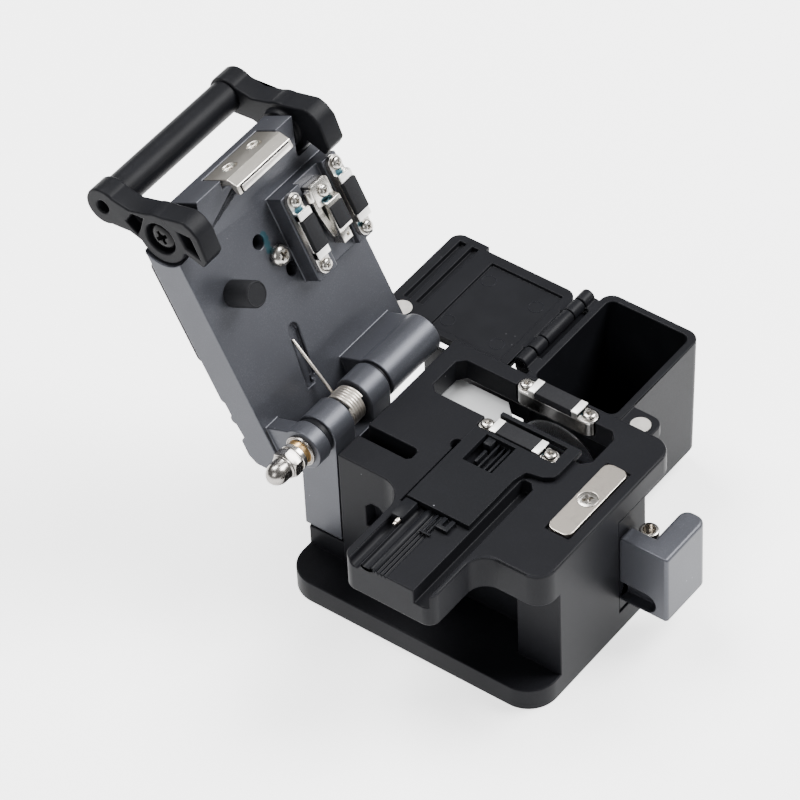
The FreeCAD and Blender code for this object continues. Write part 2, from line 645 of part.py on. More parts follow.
def slider():
    """Rail on the base and the carriage that runs on it, with its steel plate."""
    rail = Piece("slide_rail")
    waist = d.base_thick + d.rail_high * 0.45
    under = d.rail_undercut
    rail.add("front", base_front + 2.5, base_back - 2,
             [(rail_left + under, d.base_thick), (rail_right - under, d.base_thick),
              (rail_right - under, waist), (rail_right, waist + under), (rail_right, rail_top),
              (rail_left, rail_top), (rail_left, waist + under), (rail_left + under, waist)])
    rail.done()
    left = block_right + d.run_gap
    gap = d.run_gap
    skirt = d.base_thick + 0.6
    piece = Piece("carriage")
    piece.add("front", carriage_front, carriage_back,
              [(left, skirt), (rail_left - gap, skirt), (rail_left - gap, rail_top + gap),
               (rail_right + gap, rail_top + gap), (rail_right + gap, skirt),
               (carriage_right + d.foot_wide, skirt), (carriage_right + d.foot_wide, rail_top + 3),
               (carriage_right, rail_top + 5), (carriage_right, carriage_top),
               (left, carriage_top)])
    piece.take("side", left - 1, carriage_right + 1,
               ["circle", d.blade_y, blade_z, d.hub_across + 0.04])
    piece.take("top", carriage_top - 3.5, carriage_top + 1,
               rectangle((left - 1, left + 3.4), (d.blade_y - 6, carriage_back - 2)))
    piece.done()
    plate = Piece("carriage_plate")
    plate_back = carriage_back + d.tail_long
    plate_left, plate_right = carriage_right - 1, d.opening_right - 0.3
    plate.add("top", carriage_top - d.tail_thick, carriage_top,
              [(plate_left, carriage_back), (carriage_right + 3.6, carriage_back + 2.6),
               (plate_right, carriage_back + 5.4), (plate_right, plate_back),
               (plate_left, plate_back)])
    plate.round(d.tail_round, upright(plate_right, plate_back))
    plate.done()


def knob():
    """Finger knob at the front of the carriage, L shaped from above, with its roller."""
    left = block_right + d.run_gap
    front = -d.knob_front
    inner = front + d.knob_plate
    stem_right = left + d.knob_stem
    low, high = d.knob_low, d.knob_low + d.knob_high
    piece = Piece("slider_knob")
    piece.add("top", low, high, [(left, front), (d.knob_right, front), (d.knob_right, inner),
                                 (stem_right, inner), (stem_right, carriage_front),
                                 (left, carriage_front)])
    piece.round(d.knob_round, any_of(upright(d.knob_right, front), upright(d.knob_right, inner)))
    piece.bevel(d.knob_bevel, upright(left, front))
    shelf = low + d.shelf_thick
    piece.add("top", low, shelf, rectangle((stem_right - 1, stem_right + 4.8),
                                           (inner - 1, carriage_front)))
    slot_z = low + d.knob_slot_up
    half = d.knob_slot / 2
    slot_start = inner - d.knob_slot_reach
    piece.take("side", left - 1, left + d.knob_slot_deep, ["circle", slot_start, slot_z, d.knob_slot])
    piece.take("side", left - 1, left + d.knob_slot_deep,
               rectangle((slot_start, carriage_front + 1), (slot_z - half, slot_z + half)))
    piece.bevel(d.knob_bevel, lambda middle, along, straight: (
        near(middle.z, high) and straight and abs(along.x) > 0.9))
    piece.done()
    roller_at = (stem_right + d.roller_in, inner + d.roller_back)
    roller_top = high - d.roller_sunk
    keep(rod("z", d.roller_bore - 0.06, roller_at, (shelf, roller_top - 2.4)), "roller_pin")
    tube = rod("z", d.roller_across, roller_at, (shelf + 0.2, roller_top))
    bore = rod("z", d.roller_bore, roller_at, (shelf - CUT_PAST, roller_top + CUT_PAST))
    keep(cut(tube, bore), "slider_roller")


def blade():
    """Round blade with a ground edge, its hub pin in the carriage and its screw."""
    middle = (d.blade_y, blade_z)
    left = d.blade_x - d.blade_thick / 2
    right = d.blade_x + d.blade_thick / 2
    flat = d.blade_across - d.blade_ground
    collar = d.hub_across + 1.04
    disc = join([cone("x", flat, d.blade_across, middle, (left, d.blade_x)),
                 cone("x", d.blade_across, flat, middle, (d.blade_x, right))])
    keep(cut(disc, rod("x", collar, middle, (left - 1, right + 1))), "cutting_blade")
    hub_left = carriage_right - 5.0
    hub = join([rod("x", d.hub_across, middle, (hub_left, left + 0.1)),
                rod("x", collar, middle, (left, right))])
    keep(cut(hub, rod("x", d.hub_thread, middle, (left - 3, right + 1))), "blade_hub")
    screw = pan_screw("x", middle, right, 1, 6.0, 1.4, d.hub_thread, 3.0, "blade_screw")
    keep(screw, "blade_screw")


def hinge_fixed():
    """Bracket on the rear ledge with two knuckles, the hinge pin and what is on it."""
    piece = Piece("hinge_bracket")
    low = d.hinge_y - d.barrel
    high = d.hinge_y + d.barrel
    piece.add("side", d.bracket_left, d.bracket_right,
              [(low, d.ledge_top), (high, d.ledge_top), (high, d.hinge_z), (low, d.hinge_z)])
    piece.add("side", d.bracket_left, d.bracket_right,
              ["circle", d.hinge_y, d.hinge_z, d.barrel * 2])
    piece.take("side", d.bracket_gap, d.bracket_gap_end,
               rectangle((low - 1, high + 1), (d.hinge_z - d.bracket_floor, d.hinge_z + 6)))
    piece.take("side", d.bracket_left - 1, d.bracket_right + 1,
               ["circle", d.hinge_y, d.hinge_z, d.pin_across])
    piece.done()
    axis = (d.hinge_y, d.hinge_z)
    washer_end = bush_end - d.washer_thick
    nut_end = washer_end - d.nut_thick
    cap_flat = nut_end - d.cap_thick
    cap_dome = cap_flat - d.cap_dome
    pin_ends = (cap_flat, d.knuckle_right_end - 0.4)
    keep(rod("x", d.pin_across - 0.06, axis, pin_ends), "hinge_pin")
    bore = rod("x", d.pin_across, axis, (cap_flat, d.knuckle_left))
    washer = rod("x", d.nut_across - 0.2, axis, (washer_end, bush_end - 0.1))
    keep(cut(washer, bore), "pin_washer")
    keep(cut(hexagon("x", d.nut_across, axis, (nut_end, washer_end)), bore), "hex_nut")
    shoulder = cap_flat - d.cap_dome * 0.6
    cap = join([hexagon("x", d.nut_across, axis, (cap_flat, nut_end)),
                cone("x", d.cap_across * 0.8, d.cap_across, axis, (shoulder, cap_flat)),
                cone("x", d.cap_across * 0.3, d.cap_across * 0.8, axis, (cap_dome, shoulder))])
    keep(cut(cap, bore), "acorn_nut")
    spacers = []
    for low_x, high_x in ((d.knuckle_left_end + 0.3, d.bracket_left),
                          (d.bracket_right, d.knuckle_right - 0.3)):
        disc = rod("x", d.barrel * 2 - 1.0, axis, (low_x, high_x))
        spacers.append(cut(disc, rod("x", d.pin_across, axis, (low_x - 1, high_x + 1))))
    keep(group(spacers), "spacer_washers")


def hexagon(axis, across_flats, centre, ends):
    """A hexagonal prism along an axis."""
    item = document.addObject("Part::Prism", free_name("hexagon"))
    item.Polygon = 6
    item.Placement = FreeCAD.Placement(V(0, 0, 0), TURNS[axis])
    bind(item, "Circumradius", size(across_flats) / math.sqrt(3))
    bind(item, "Height", size(ends[1]) - ends[0])
    bind(item, "Placement.Base.x", ends[0])
    bind(item, "Placement.Base.y", centre[0])
    bind(item, "Placement.Base.z", centre[1])
    return item


def torsion_spring():
    """Close coils round the hinge pin, one leg down on the bracket and one up in the lid's slot."""
    left = d.bracket_gap + d.spring_wire
    right = d.bracket_gap_end - d.spring_wire
    outer = d.barrel - d.spring_drop
    valley = outer - d.spring_wire / 2
    inner = outer - d.spring_wire
    pitch = (right - left) / COILS
    outline = [(left, inner)]
    for turn in range(COILS):
        outline += [(left + pitch * turn, valley), (left + pitch * (turn + 0.5), outer)]
    outline += [(right, valley), (right, inner)]
    coil = Piece("coil")
    coil.turn(outline)
    axis = FreeCAD.Placement(V(0, d.hinge_y.value, d.hinge_z.value), FreeCAD.Rotation())
    coil.body.Placement = axis
    bind(coil.body, "Placement.Base.y", d.hinge_y)
    bind(coil.body, "Placement.Base.z", d.hinge_z)
    wire_ring = valley.value
    tip = V(d.leg_tip_x.value, -d.leg_tip_out.value, d.lid_under.value + d.spring_wire.value)
    reach = math.hypot(tip.y, tip.z)
    leaves = math.atan2(tip.z, tip.y) - math.acos(wire_ring / reach)
    root = V(tip.x, wire_ring * math.cos(leaves), wire_ring * math.sin(leaves))
    opened = FreeCAD.Rotation(V(-1, 0, 0), d.open_angle.value)
    under = outer.value + d.spring_wire.value * 0.2
    low = V(left.value, -under * math.sin(FOOT_TURN), -under * math.cos(FOOT_TURN))
    legs = [(opened.multVec(root), opened.multVec(tip)),
            (low, V(right.value, low.y, low.z))]
    rods = []
    for number, (start, end) in enumerate(legs):
        leg = document.addObject("Part::Feature", free_name("leg"))
        length = start.distanceToPoint(end)
        leg.Shape = Part.makeCylinder(d.spring_wire.value / 2, length, start, end - start)
        leg.Placement = axis
        rods.append(leg)
    keep(join([coil.body] + rods, "spring"), "torsion_spring")


# The lid's pieces are drawn closed, with the hinge axis at the origin of their frame: out from
# the hinge is towards -Y, and above the hinge is +Z.
tip_left = d.tip_mid - d.tip_wide / 2
tip_right = d.tip_mid + d.tip_wide / 2
arm_inner_left = tip_left - d.arm_inset
arm_inner_right = tip_right + d.arm_inset
arm_outer_left = arm_inner_left - d.arm_thick
arm_outer_right = arm_inner_right + d.arm_thick
lid_left = arm_outer_left - d.lid_lip
lid_right = arm_outer_right
pivot = (-d.pivot_out, d.pivot_up)
pad_face = pad_top - d.hinge_z + d.closed_gap
clamp_mid = d.clamp_mid_y - d.hinge_y
strike_top = d.deck_top + d.strike_proud - d.hinge_z
nose = strike_top + d.closed_gap
yoke_screw_z = nose + 6.0
yoke_screws_at = (d.yoke_x - d.yoke_spacing / 2, d.yoke_x + d.yoke_spacing / 2)
upper_seat = d.lid_under - d.anvil_step
anvil_x = d.blade_x + 0.4
channel_half = d.channel_wide / 2
channel_floor = upper_seat + d.channel_deep


def lid_arm():
    """Lid casting: plate, sloped tip, two hinge knuckles and the clamp seat below it."""
    piece = Piece("lid_arm")
    under, over, heel = d.lid_under, d.lid_over, d.lid_heel
    side = [(-d.lid_shoulder, over), (-d.lid_shoulder, under), (heel - 4.0, under),
            (heel - 1.4, under + 1.0), (heel - 0.1, over - 5.4), (heel, over - 3.6),
            (heel - 1.2, over - 1.2), (heel - 3.4, over), (heel - 7.2, over - 0.1),
            (heel - 8.0, over - 1.3), (heel - 11.2, over - 1.0), (heel - 12.0, over - 0.2),
            (heel - 13.0, over - 0.2), (heel - 13.6, over - 0.8), (heel - 16.6, over - 0.7),
            (heel - 17.3, over)]
    piece.add("side", lid_left, lid_right, side)
    tip = [(-d.tip_end, d.tip_under), (-d.lid_end, under), (-d.lid_end, over),
           (-d.lid_shoulder, over), (-d.tip_end, d.tip_over)]
    relief = d.pivot_round * 2 + 0.9
    for low, high in ((lid_left - 1, tip_left), (tip_right, lid_right + 1)):
        piece.take("side", low, high, ["circle", pivot[0], pivot[1], relief])
    piece.add("side", tip_left, tip_right, tip)
    for low, high in ((d.knuckle_left, d.knuckle_left_end),
                      (d.knuckle_right, d.knuckle_right_end)):
        piece.add("side", low, high, ["circle", 0, 0, d.barrel * 2])
        piece.add("side", low, high, [(-5.2, under + 0.5), (-d.barrel * 0.85, -1.6),
                                      (d.barrel * 0.2, -d.barrel * 0.9), (d.barrel * 0.98, 0.5),
                                      (d.barrel * 0.6, under + 0.5)])
    piece.take("side", d.knuckle_left - 1, d.knuckle_right_end + 1, ["circle", 0, 0, d.bush_across])
    block_ends = (-d.anvil_far, -d.anvil_near)
    piece.add("side", d.anvil_left, d.anvil_right, rectangle(block_ends, (upper_seat, under + 0.5)))
    piece.take("side", anvil_x - channel_half, anvil_x + channel_half,
               rectangle((block_ends[0] - 1, block_ends[1] + 1),
                         (upper_seat - CUT_PAST, channel_floor)))
    notch = d.yoke_wide / 2 + 0.3
    piece.take("side", d.yoke_x - notch, d.yoke_x + notch,
               [(-d.tip_end - 1, d.tip_under - 4), (-d.tip_end + 4.0, d.tip_under - 4),
                (-d.tip_end + 4.0, d.tip_under + 0.4), (-d.tip_end + 1.6, d.tip_under + 1.4),
                (-d.tip_end + 1.6, d.tip_over - 2.2), (-d.tip_end - 1, d.tip_over - 2.2)])
    near_x, far_x = d.lid_slot_near_x, d.lid_slot_far_x
    half = d.lid_slot / 2
    near_y, far_y = -d.lid_slot_near, -d.lid_slot_far
    piece.take("top", under - CUT_PAST, under + 2.6,
               [(near_x - half, near_y), (far_x - half, far_y + 0.7), (far_x - half + 0.6, far_y),
                (far_x + half - 0.6, far_y), (far_x + half, far_y + 0.7), (near_x + half, near_y)])
    for x, out in ((d.dowel_far_x, d.dowel_far_out), (d.dowel_near_x, d.dowel_near_out)):
        piece.take("top", under - CUT_PAST, under + 3.5, ["circle", x, -out, d.dowel_across])
    piece.take("top", under - CUT_PAST, under + 5,
               ["circle", d.bumper_x, -d.bumper_out, d.bumper_stem + d.hole_gap],
               ["circle", d.lid_screw_x, -d.lid_screw_out, d.lid_screw_shank + d.hole_gap])
    for x in (tip_left + 4, tip_right - 4):
        piece.take("side", x - 5, x + 5, ["circle", pivot[0], pivot[1], d.pivot_shank + d.hole_gap])
    for x in yoke_screws_at:
        piece.take("front", -d.tip_end, -d.tip_end + 5.2,
                   ["circle", x, yoke_screw_z, d.yoke_shank + d.hole_gap])
    for x in (d.near_clamp_x, d.far_clamp_x):
        for y in (clamp_mid - d.screw_spacing / 2, clamp_mid + d.screw_spacing / 2):
            piece.take("top", upper_seat - CUT_PAST, upper_seat + 2.4, ["circle", x, y, clamp_hole])
    return piece.done(lid=True)


def lid_fittings():
    """Pad on the lid's outer face, the yoke and its magnet, bumper, screws and brass bushes."""
    over, under = d.lid_over, d.lid_under
    piece = Piece("lid_top_pad")
    near_y, far_y = -d.top_pad_near, -d.top_pad_far
    crown = over + d.top_pad_thick
    piece.add("side", lid_left + d.top_pad_in, lid_right - d.top_pad_in,
              [(far_y, over), (near_y, over), (near_y, crown - 1.1), (near_y - 0.4, crown - 0.4),
               (near_y - 1.1, crown), (far_y + 1.1, crown), (far_y + 0.4, crown - 0.4),
               (far_y, crown - 1.1)])
    piece.done(lid=True)
    left, right = d.yoke_x - d.yoke_wide / 2, d.yoke_x + d.yoke_wide / 2
    face = -d.tip_end + 0.1
    back = face + 1.5
    piece = Piece("magnet_yoke")
    piece.add("side", left, right,
              [(face, d.tip_over - 2.5), (back, d.tip_over - 2.5), (back, nose + 2.4),
               (back + 2.2, nose + 1.6), (back + 2.2, nose + 0.5), (face + 1.7, nose + 0.5),
               (face, nose + 2.6)])
    for x in yoke_screws_at:
        piece.take("front", face - 1, back - 0.7, ["circle", x, yoke_screw_z, d.yoke_head + 0.2])
        piece.take("front", face - 1, back + 1,
                   ["circle", x, yoke_screw_z, d.yoke_shank + d.hole_gap])
    piece.done(lid=True)
    magnet = box((left + 0.9, right - 0.9), (face + 1.9, back + 2.0), (nose, nose + 0.5))
    keep(in_lid_frame(magnet), "yoke_magnet")
    screws = []
    for x in yoke_screws_at:
        z = yoke_screw_z
        body = join([rod("y", d.yoke_head, (x, z), (face + 0.1, back - 0.7)),
                     rod("y", d.yoke_shank, (x, z), (back - 0.8, back + 3.0))])
        slots = [box((x - a, x + a), (face, face + 0.6), (z - b, z + b))
                 for a, b in ((0.95, 0.24), (0.24, 0.95))]
        screws.append(cut(body, *slots))
    keep(in_lid_frame(group(screws)), "yoke_screws")
    middle = (d.bumper_x, -d.bumper_out)
    tip = plate_top - d.hinge_z + 0.6
    bumper = join([rod("z", d.bumper_across, middle, (tip + 0.4, under)),
                   cone("z", d.bumper_across - 0.8, d.bumper_across, middle, (tip, tip + 0.4)),
                   rod("z", d.bumper_stem, middle, (under - 0.1, under + 4))])
    keep(in_lid_frame(bumper), "bumper_pin")
    screw = pan_screw("z", (d.lid_screw_x, -d.lid_screw_out), under, -1, d.lid_screw_head,
                      d.lid_screw_high, d.lid_screw_shank, 4.0, "lid_screw")
    keep(in_lid_frame(screw), "lid_screw")
    bore = rod("x", d.pin_across + 0.04, (0, 0), (bush_end - 1, d.knuckle_right_end + 1))
    long_bush = rod("x", d.bush_across, (0, 0), (d.knuckle_right, d.knuckle_right_end))
    outer_bush = join([rod("x", d.bush_across, (0, 0), (bush_end, d.knuckle_left_end)),
                       rod("x", d.flange_across, (0, 0), (d.knuckle_left - d.flange_thick,
                                                          d.knuckle_left))])
    keep(in_lid_frame(group([cut(outer_bush, bore), cut(long_bush, bore)])), "brass_bushes")


def upper_clamps():
    """Clamp bars under the lid that meet the lower pair, and the sprung anvil between them."""
    half = d.upper_clamp_wide / 2
    mid = clamp_mid
    pads = (mid - d.upper_pad_long / 2, mid + d.upper_pad_long / 2)
    bar_low = pad_face + 0.5
    pad_roof = bar_low + 0.7
    far_end, near_end = mid - d.clamp_long / 2, mid + d.clamp_long / 2
    for name, x in (("near", d.near_clamp_x), ("far", d.far_clamp_x)):
        piece = Piece("%s_upper_clamp" % name)
        ends = (pads[0] - d.upper_end_block, pads[1] + d.upper_end_block)
        step = bar_low + 1.2
        piece.add("side", x - half, x + half,
                  [(far_end, step), (ends[0], step), (ends[0], bar_low), (pads[0], bar_low),
                   (pads[0], pad_roof), (pads[1], pad_roof), (pads[1], bar_low),
                   (ends[1], bar_low), (ends[1], step), (near_end, step),
                   (near_end, upper_seat), (far_end, upper_seat)])
        corners = [upright(a, b) for a in (x - half, x + half) for b in (far_end, near_end)]
        piece.round(d.upper_clamp_wide * END_ROUND, any_of(*corners))
        for side in (-1, 1):
            piece.take("top", step - 1, upper_seat + 1,
                       ["circle", x, mid + d.screw_spacing / 2 * side, clamp_hole])
        piece.done(lid=True)
        pad = box((x - half, x + half), pads, (pad_face, pad_roof))
        keep(in_lid_frame(pad), "%s_upper_pad" % name)
        screws = [pan_screw("z", (x, mid + d.screw_spacing / 2 * side), step, -1, d.clamp_head,
                            0.9, d.clamp_shank, 3.2, "upper_screw") for side in (-1, 1)]
        keep(in_lid_frame(group(screws)), "%s_upper_screws" % name)
    piece = Piece("anvil")
    half = d.anvil_wide / 2
    pad_low, pad_high = mid - d.anvil_pad_long / 2, mid + d.anvil_pad_long / 2
    lever = upper_seat - 1.2
    piece.add("side", anvil_x - half, anvil_x + half,
              [(mid - 7.8, channel_floor), (mid - 7.8, lever), (pad_low - 0.9, lever),
               (pad_low - 0.3, bar_low), (pad_high + 0.5, bar_low), (pad_high + 2.6, lever + 0.6),
               (mid + 7.2, lever + 0.6), (mid + 7.2, channel_floor)])
    piece.done(lid=True)
    pad = box((anvil_x - d.anvil_pad_wide / 2, anvil_x + d.anvil_pad_wide / 2),
              (pad_low, pad_high), (pad_face, bar_low))
    keep(in_lid_frame(pad), "anvil_pad")


def handle():
    """Moulded bail handle: two cranked arms on pivot screws and a round bar between them."""
    bar = (-d.bar_out, d.bar_up)
    foot = -d.foot_reach
    out, up = -d.pivot_out, d.pivot_up
    arm = [(bar[0] - d.bar_round * 0.85, d.bar_up - 1.6), (out - 7.0, up + 5.4),
           (out - 5.6, up - 2.0), (out - 4.0, up - 8.8), (out - 2.4, foot + 0.9), (out, foot),
           (out + 5.6, foot + 0.6), (out + 7.1, foot + 2.6), (out + 3.6, up - 5.2), (out + 4.4, up),
           (out + 2.0, up + 4.6), (out - 1.6, up + 8.2),
           (bar[0] + d.bar_round * 0.9, d.bar_up + 1.0)]
    rib_pocket = [(out - 6.0, up + 5.2), (out - 4.3, up + 7.7), (out - 1.2, up + 6.2),
                  (out - 2.2, up + 4.9), (out - 4.9, up + 2.4)]
    foot_pocket = [(out - 0.2, foot + 2.2), (out + 4.6, foot + 2.4), (out + 2.2, foot + 4.9),
                   (out - 1.6, foot + 5.0)]
    screws = []
    for name, low, high, sign in (("left", arm_outer_left, arm_inner_left, -1),
                                  ("right", arm_inner_right, arm_outer_right, 1)):
        outer, inner = (low, high) if sign < 0 else (high, low)
        piece = Piece("%s_handle_arm" % name)
        piece.add("side", low, high, arm)
        piece.add("side", low, high, ["circle", bar[0], bar[1], d.bar_round * 2])
        piece.add("side", low, high, ["circle", pivot[0], pivot[1], d.pivot_round * 2])
        boss = (inner - 0.5, tip_left - d.arm_gap) if sign < 0 else (tip_right + d.arm_gap, inner + 0.5)
        piece.add("side", *boss, ["circle", pivot[0], pivot[1], d.pivot_boss])
        hole_ends = (low - 1, boss[1] + 1) if sign < 0 else (boss[0] - 1, high + 1)
        piece.take("side", *hole_ends, ["circle", pivot[0], pivot[1], d.pivot_shank + 0.3])
        for deep, outline in ((d.head_sunk, ["circle", pivot[0], pivot[1], d.pivot_screw + 1.0]),
                              (d.arm_pocket, foot_pocket), (d.arm_pocket, rib_pocket),
                              (d.arm_pocket, ["circle", bar[0], bar[1], d.bar_hole])):
            ends = (outer - 1, outer + deep) if sign < 0 else (outer - deep, outer + 1)
            piece.take("side", *ends, outline)
        piece.done(lid=True)
        head_seat = outer - (d.head_sunk - 0.3) * sign
        screws.append(pan_screw("x", pivot, head_seat, sign, d.pivot_screw, 1.8, d.pivot_shank,
                                7.0, "pivot_screw"))
    bar_rod = rod("x", d.bar_across, bar, (arm_inner_left, arm_inner_right))
    keep(in_lid_frame(bar_rod), "handle_bar")
    keep(in_lid_frame(group(screws)), "handle_screws")


def bin_box():
    """Open plastic bin that hangs on the deck's right side, with a tab for its magnet."""
    piece = Piece("scrap_bin")
    left, right, front, back = bin_left, d.bin_right, -d.bin_front, d.bin_back
    low, top, wall, draft = d.bin_low, d.bin_top, d.bin_wall, d.bin_draft
    piece.add("front", front, back, [(left, low), (right - draft, low), (right, top), (left, top)])
    lean = right - draft / 2
    piece.round(d.bin_round, any_of(upright(lean, front), upright(lean, back)))
    floor = low + wall
    piece.take("front", front + wall, back - wall,
               [(left + wall, floor), (right - wall - draft, floor), (right - wall, top),
                (right - wall, top + CUT_PAST), (left + wall, top + CUT_PAST)])
    piece.round(d.bin_round - 1.2, any_of(*[upright(x, y) for x in (left + wall, lean - wall)
                                            for y in (front + wall, back - wall)]))
    tab_right = d.magnet_x + d.tab_reach
    piece.add("top", top - d.tab_thick, top - 0.1,
              rectangle((left, tab_right), (d.magnet_y - d.tab_reach, front + 0.6)))
    piece.round(2.4, upright(tab_right, d.magnet_y - d.tab_reach))
    piece.take("top", top - d.magnet_thick - 0.1, top + 1,
               ["circle", d.magnet_x, d.magnet_y, d.magnet_across])
    for low_x, high_x in bin_lugs:
        piece.add("side", low_x, high_x,
                  [(back - 1, top - 6.0), (d.flap_y + 1.5, d.flap_z - 1.9),
                   (d.flap_y + 1.5, d.flap_z), (back - 1, top)])
        piece.add("side", low_x, high_x, ["circle", d.flap_y, d.flap_z, d.flap_barrel])
    piece.take("side", left - 1, right + 1, ["circle", d.flap_y, d.flap_z, d.flap_pin + 0.04])
    return piece.done()


def bin_lid():
    """Flap that folds over the bin, drawn folded back, with its magnet and hinge pin."""
    left = bin_left + 0.35
    flap_right = d.flap_right
    z = d.flap_z - 0.05
    low = z - d.flap_thick
    axis = (d.flap_y, d.flap_z)
    near_edge = d.flap_y + 2.1
    far = d.flap_y + d.flap_long
    piece = Piece("bin_flap")
    piece.add("top", low, z, rectangle((left, flap_right), (near_edge, far)))
    grip = far - d.grip_long
    grip_right = flap_right + d.grip_over
    piece.add("top", low - 1.0, z, rectangle((left + 4.5, grip_right), (grip, far)))
    piece.round(d.flap_round, any_of(upright(grip_right, far), upright(flap_right, near_edge)))
    piece.take("top", z - 0.7, z + 1, rectangle((left + 1.8, flap_right - 2.6),
                                                (near_edge + 2.2, grip - 3.4)))
    for start in (grip + 1.4, grip + 4.6):
        piece.take("top", z - 1.2, z + 1, rectangle((left + 5.6, grip_right - 2.0),
                                                    (start, start + 1.7)))
    magnet_y = d.flap_y * 2 - d.magnet_y
    piece.take("top", z - d.magnet_thick, z + 1,
               ["circle", d.magnet_x, magnet_y, d.magnet_across])
    for low_x, high_x in flap_lugs:
        piece.add("side", low_x, high_x, [(d.flap_y, z - 1.5), (near_edge + 1, low),
                                          (near_edge + 1, z), (d.flap_y + 1.0, z + 0.6)])
        piece.add("side", low_x, high_x, ["circle", axis[0], axis[1], d.flap_barrel])
    piece.take("side", left - 1, flap_right + 3, ["circle", axis[0], axis[1], d.flap_pin + 0.08])
    piece.done()
    keep(rod("x", d.flap_pin, axis, (bin_lugs[0][0], bin_lugs[-1][1])), "flap_hinge_pin")
    disc = rod("z", d.magnet_across, (d.magnet_x, magnet_y), (z - d.magnet_thick, z - 0.1))
    keep(disc, "flap_magnet")
    top = d.bin_top
    bin_disc = rod("z", d.magnet_across, (d.magnet_x, d.magnet_y),
                   (top - d.magnet_thick - 0.1, top - 0.1))
    keep(bin_disc, "bin_magnet")


main_body()
guide_plate()
bed_fittings()
lower_clamps()
strike()
slider()
knob()
blade()
hinge_fixed()
torsion_spring()
lid_arm()
lid_fittings()
upper_clamps()
handle()
bin_box()
bin_lid()
document.recompute()

for item in document.Objects:
    if "Invalid" in item.State or "Error" in item.State:
        raise ValueError("%s did not build" % item.Label)
os.makedirs("parts", exist_ok=True)
for item in nodes:
    if item.Shape.isNull() or not item.Shape.isValid():
        raise ValueError("%s is not a sound solid" % item.Label)
for item in nodes:
    item.Shape.exportStep("parts/%s.step" % item.Label)
    print("%-20s %9.1f mm3  %d solids" % (item.Label, item.Shape.Volume, len(item.Shape.Solids)))
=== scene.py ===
import json
import math

import bmesh
import bpy
from mathutils import Matrix, Vector

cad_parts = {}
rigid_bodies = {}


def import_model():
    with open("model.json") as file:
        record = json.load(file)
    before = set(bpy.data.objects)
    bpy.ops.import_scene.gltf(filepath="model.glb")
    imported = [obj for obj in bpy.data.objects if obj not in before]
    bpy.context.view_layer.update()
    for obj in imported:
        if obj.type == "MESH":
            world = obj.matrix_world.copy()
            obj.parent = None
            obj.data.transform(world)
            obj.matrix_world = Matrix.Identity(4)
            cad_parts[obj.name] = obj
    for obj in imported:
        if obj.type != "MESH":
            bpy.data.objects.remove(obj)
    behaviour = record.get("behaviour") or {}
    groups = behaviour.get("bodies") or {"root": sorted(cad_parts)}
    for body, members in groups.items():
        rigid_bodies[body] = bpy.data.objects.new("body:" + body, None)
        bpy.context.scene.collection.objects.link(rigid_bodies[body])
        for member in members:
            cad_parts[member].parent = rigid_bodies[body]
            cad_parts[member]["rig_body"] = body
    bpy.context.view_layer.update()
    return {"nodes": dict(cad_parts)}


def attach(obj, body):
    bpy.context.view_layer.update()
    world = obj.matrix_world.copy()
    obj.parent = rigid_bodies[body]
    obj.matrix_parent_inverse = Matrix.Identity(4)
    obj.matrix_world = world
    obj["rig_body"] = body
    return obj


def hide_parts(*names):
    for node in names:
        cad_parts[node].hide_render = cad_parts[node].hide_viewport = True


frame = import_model()
nodes = frame["nodes"]
MM = 0.001
PIN = (28.9, 39.4)          # the hinge pin's y and z, in millimetres
LID_OPEN_DEGREES = 117
OPEN_LID = (Matrix.Translation(Vector((0, *PIN)) * MM)
            @ Matrix.Rotation(math.radians(-LID_OPEN_DEGREES), 4, "X"))
LID_FACE = 7.6              # height of the closed lid's underside
DECK_TOP = 38
CLAMPS = (("near", 8.7), ("far", 22.6))      # each clamp's name and x
HANDLE_PIVOT = (-52.4, 10.1)                 # y and z with the lid closed


# ---------------------------------------------------------------- finishes
class Val:
    """A socket that takes part in sums, so a finish reads as plain arithmetic."""

    def __init__(self, finish, socket):
        self.finish, self.socket = finish, socket

    def math(self, operation, *others):
        return self.finish.node("ShaderNodeMath", {"operation": operation}, [self, *others])

    def __add__(self, other):
        return self.math("ADD", other)

    def __sub__(self, other):
        return self.math("SUBTRACT", other)

    def __mul__(self, other):
        return self.math("MULTIPLY", other)

    def __truediv__(self, other):
        return self.math("DIVIDE", other)

    def __rsub__(self, other):
        return self.finish.node("ShaderNodeMath", {"operation": "SUBTRACT"}, [other, self])

    __radd__ = __add__
    __rmul__ = __mul__

    def over(self, low, high):
        """0 below low and 1 above high, with a soft step between."""
        return self.finish.node("ShaderNodeMapRange", {"interpolation_type": "SMOOTHSTEP"},
                                {"Value": self, "From Min": low, "From Max": high})


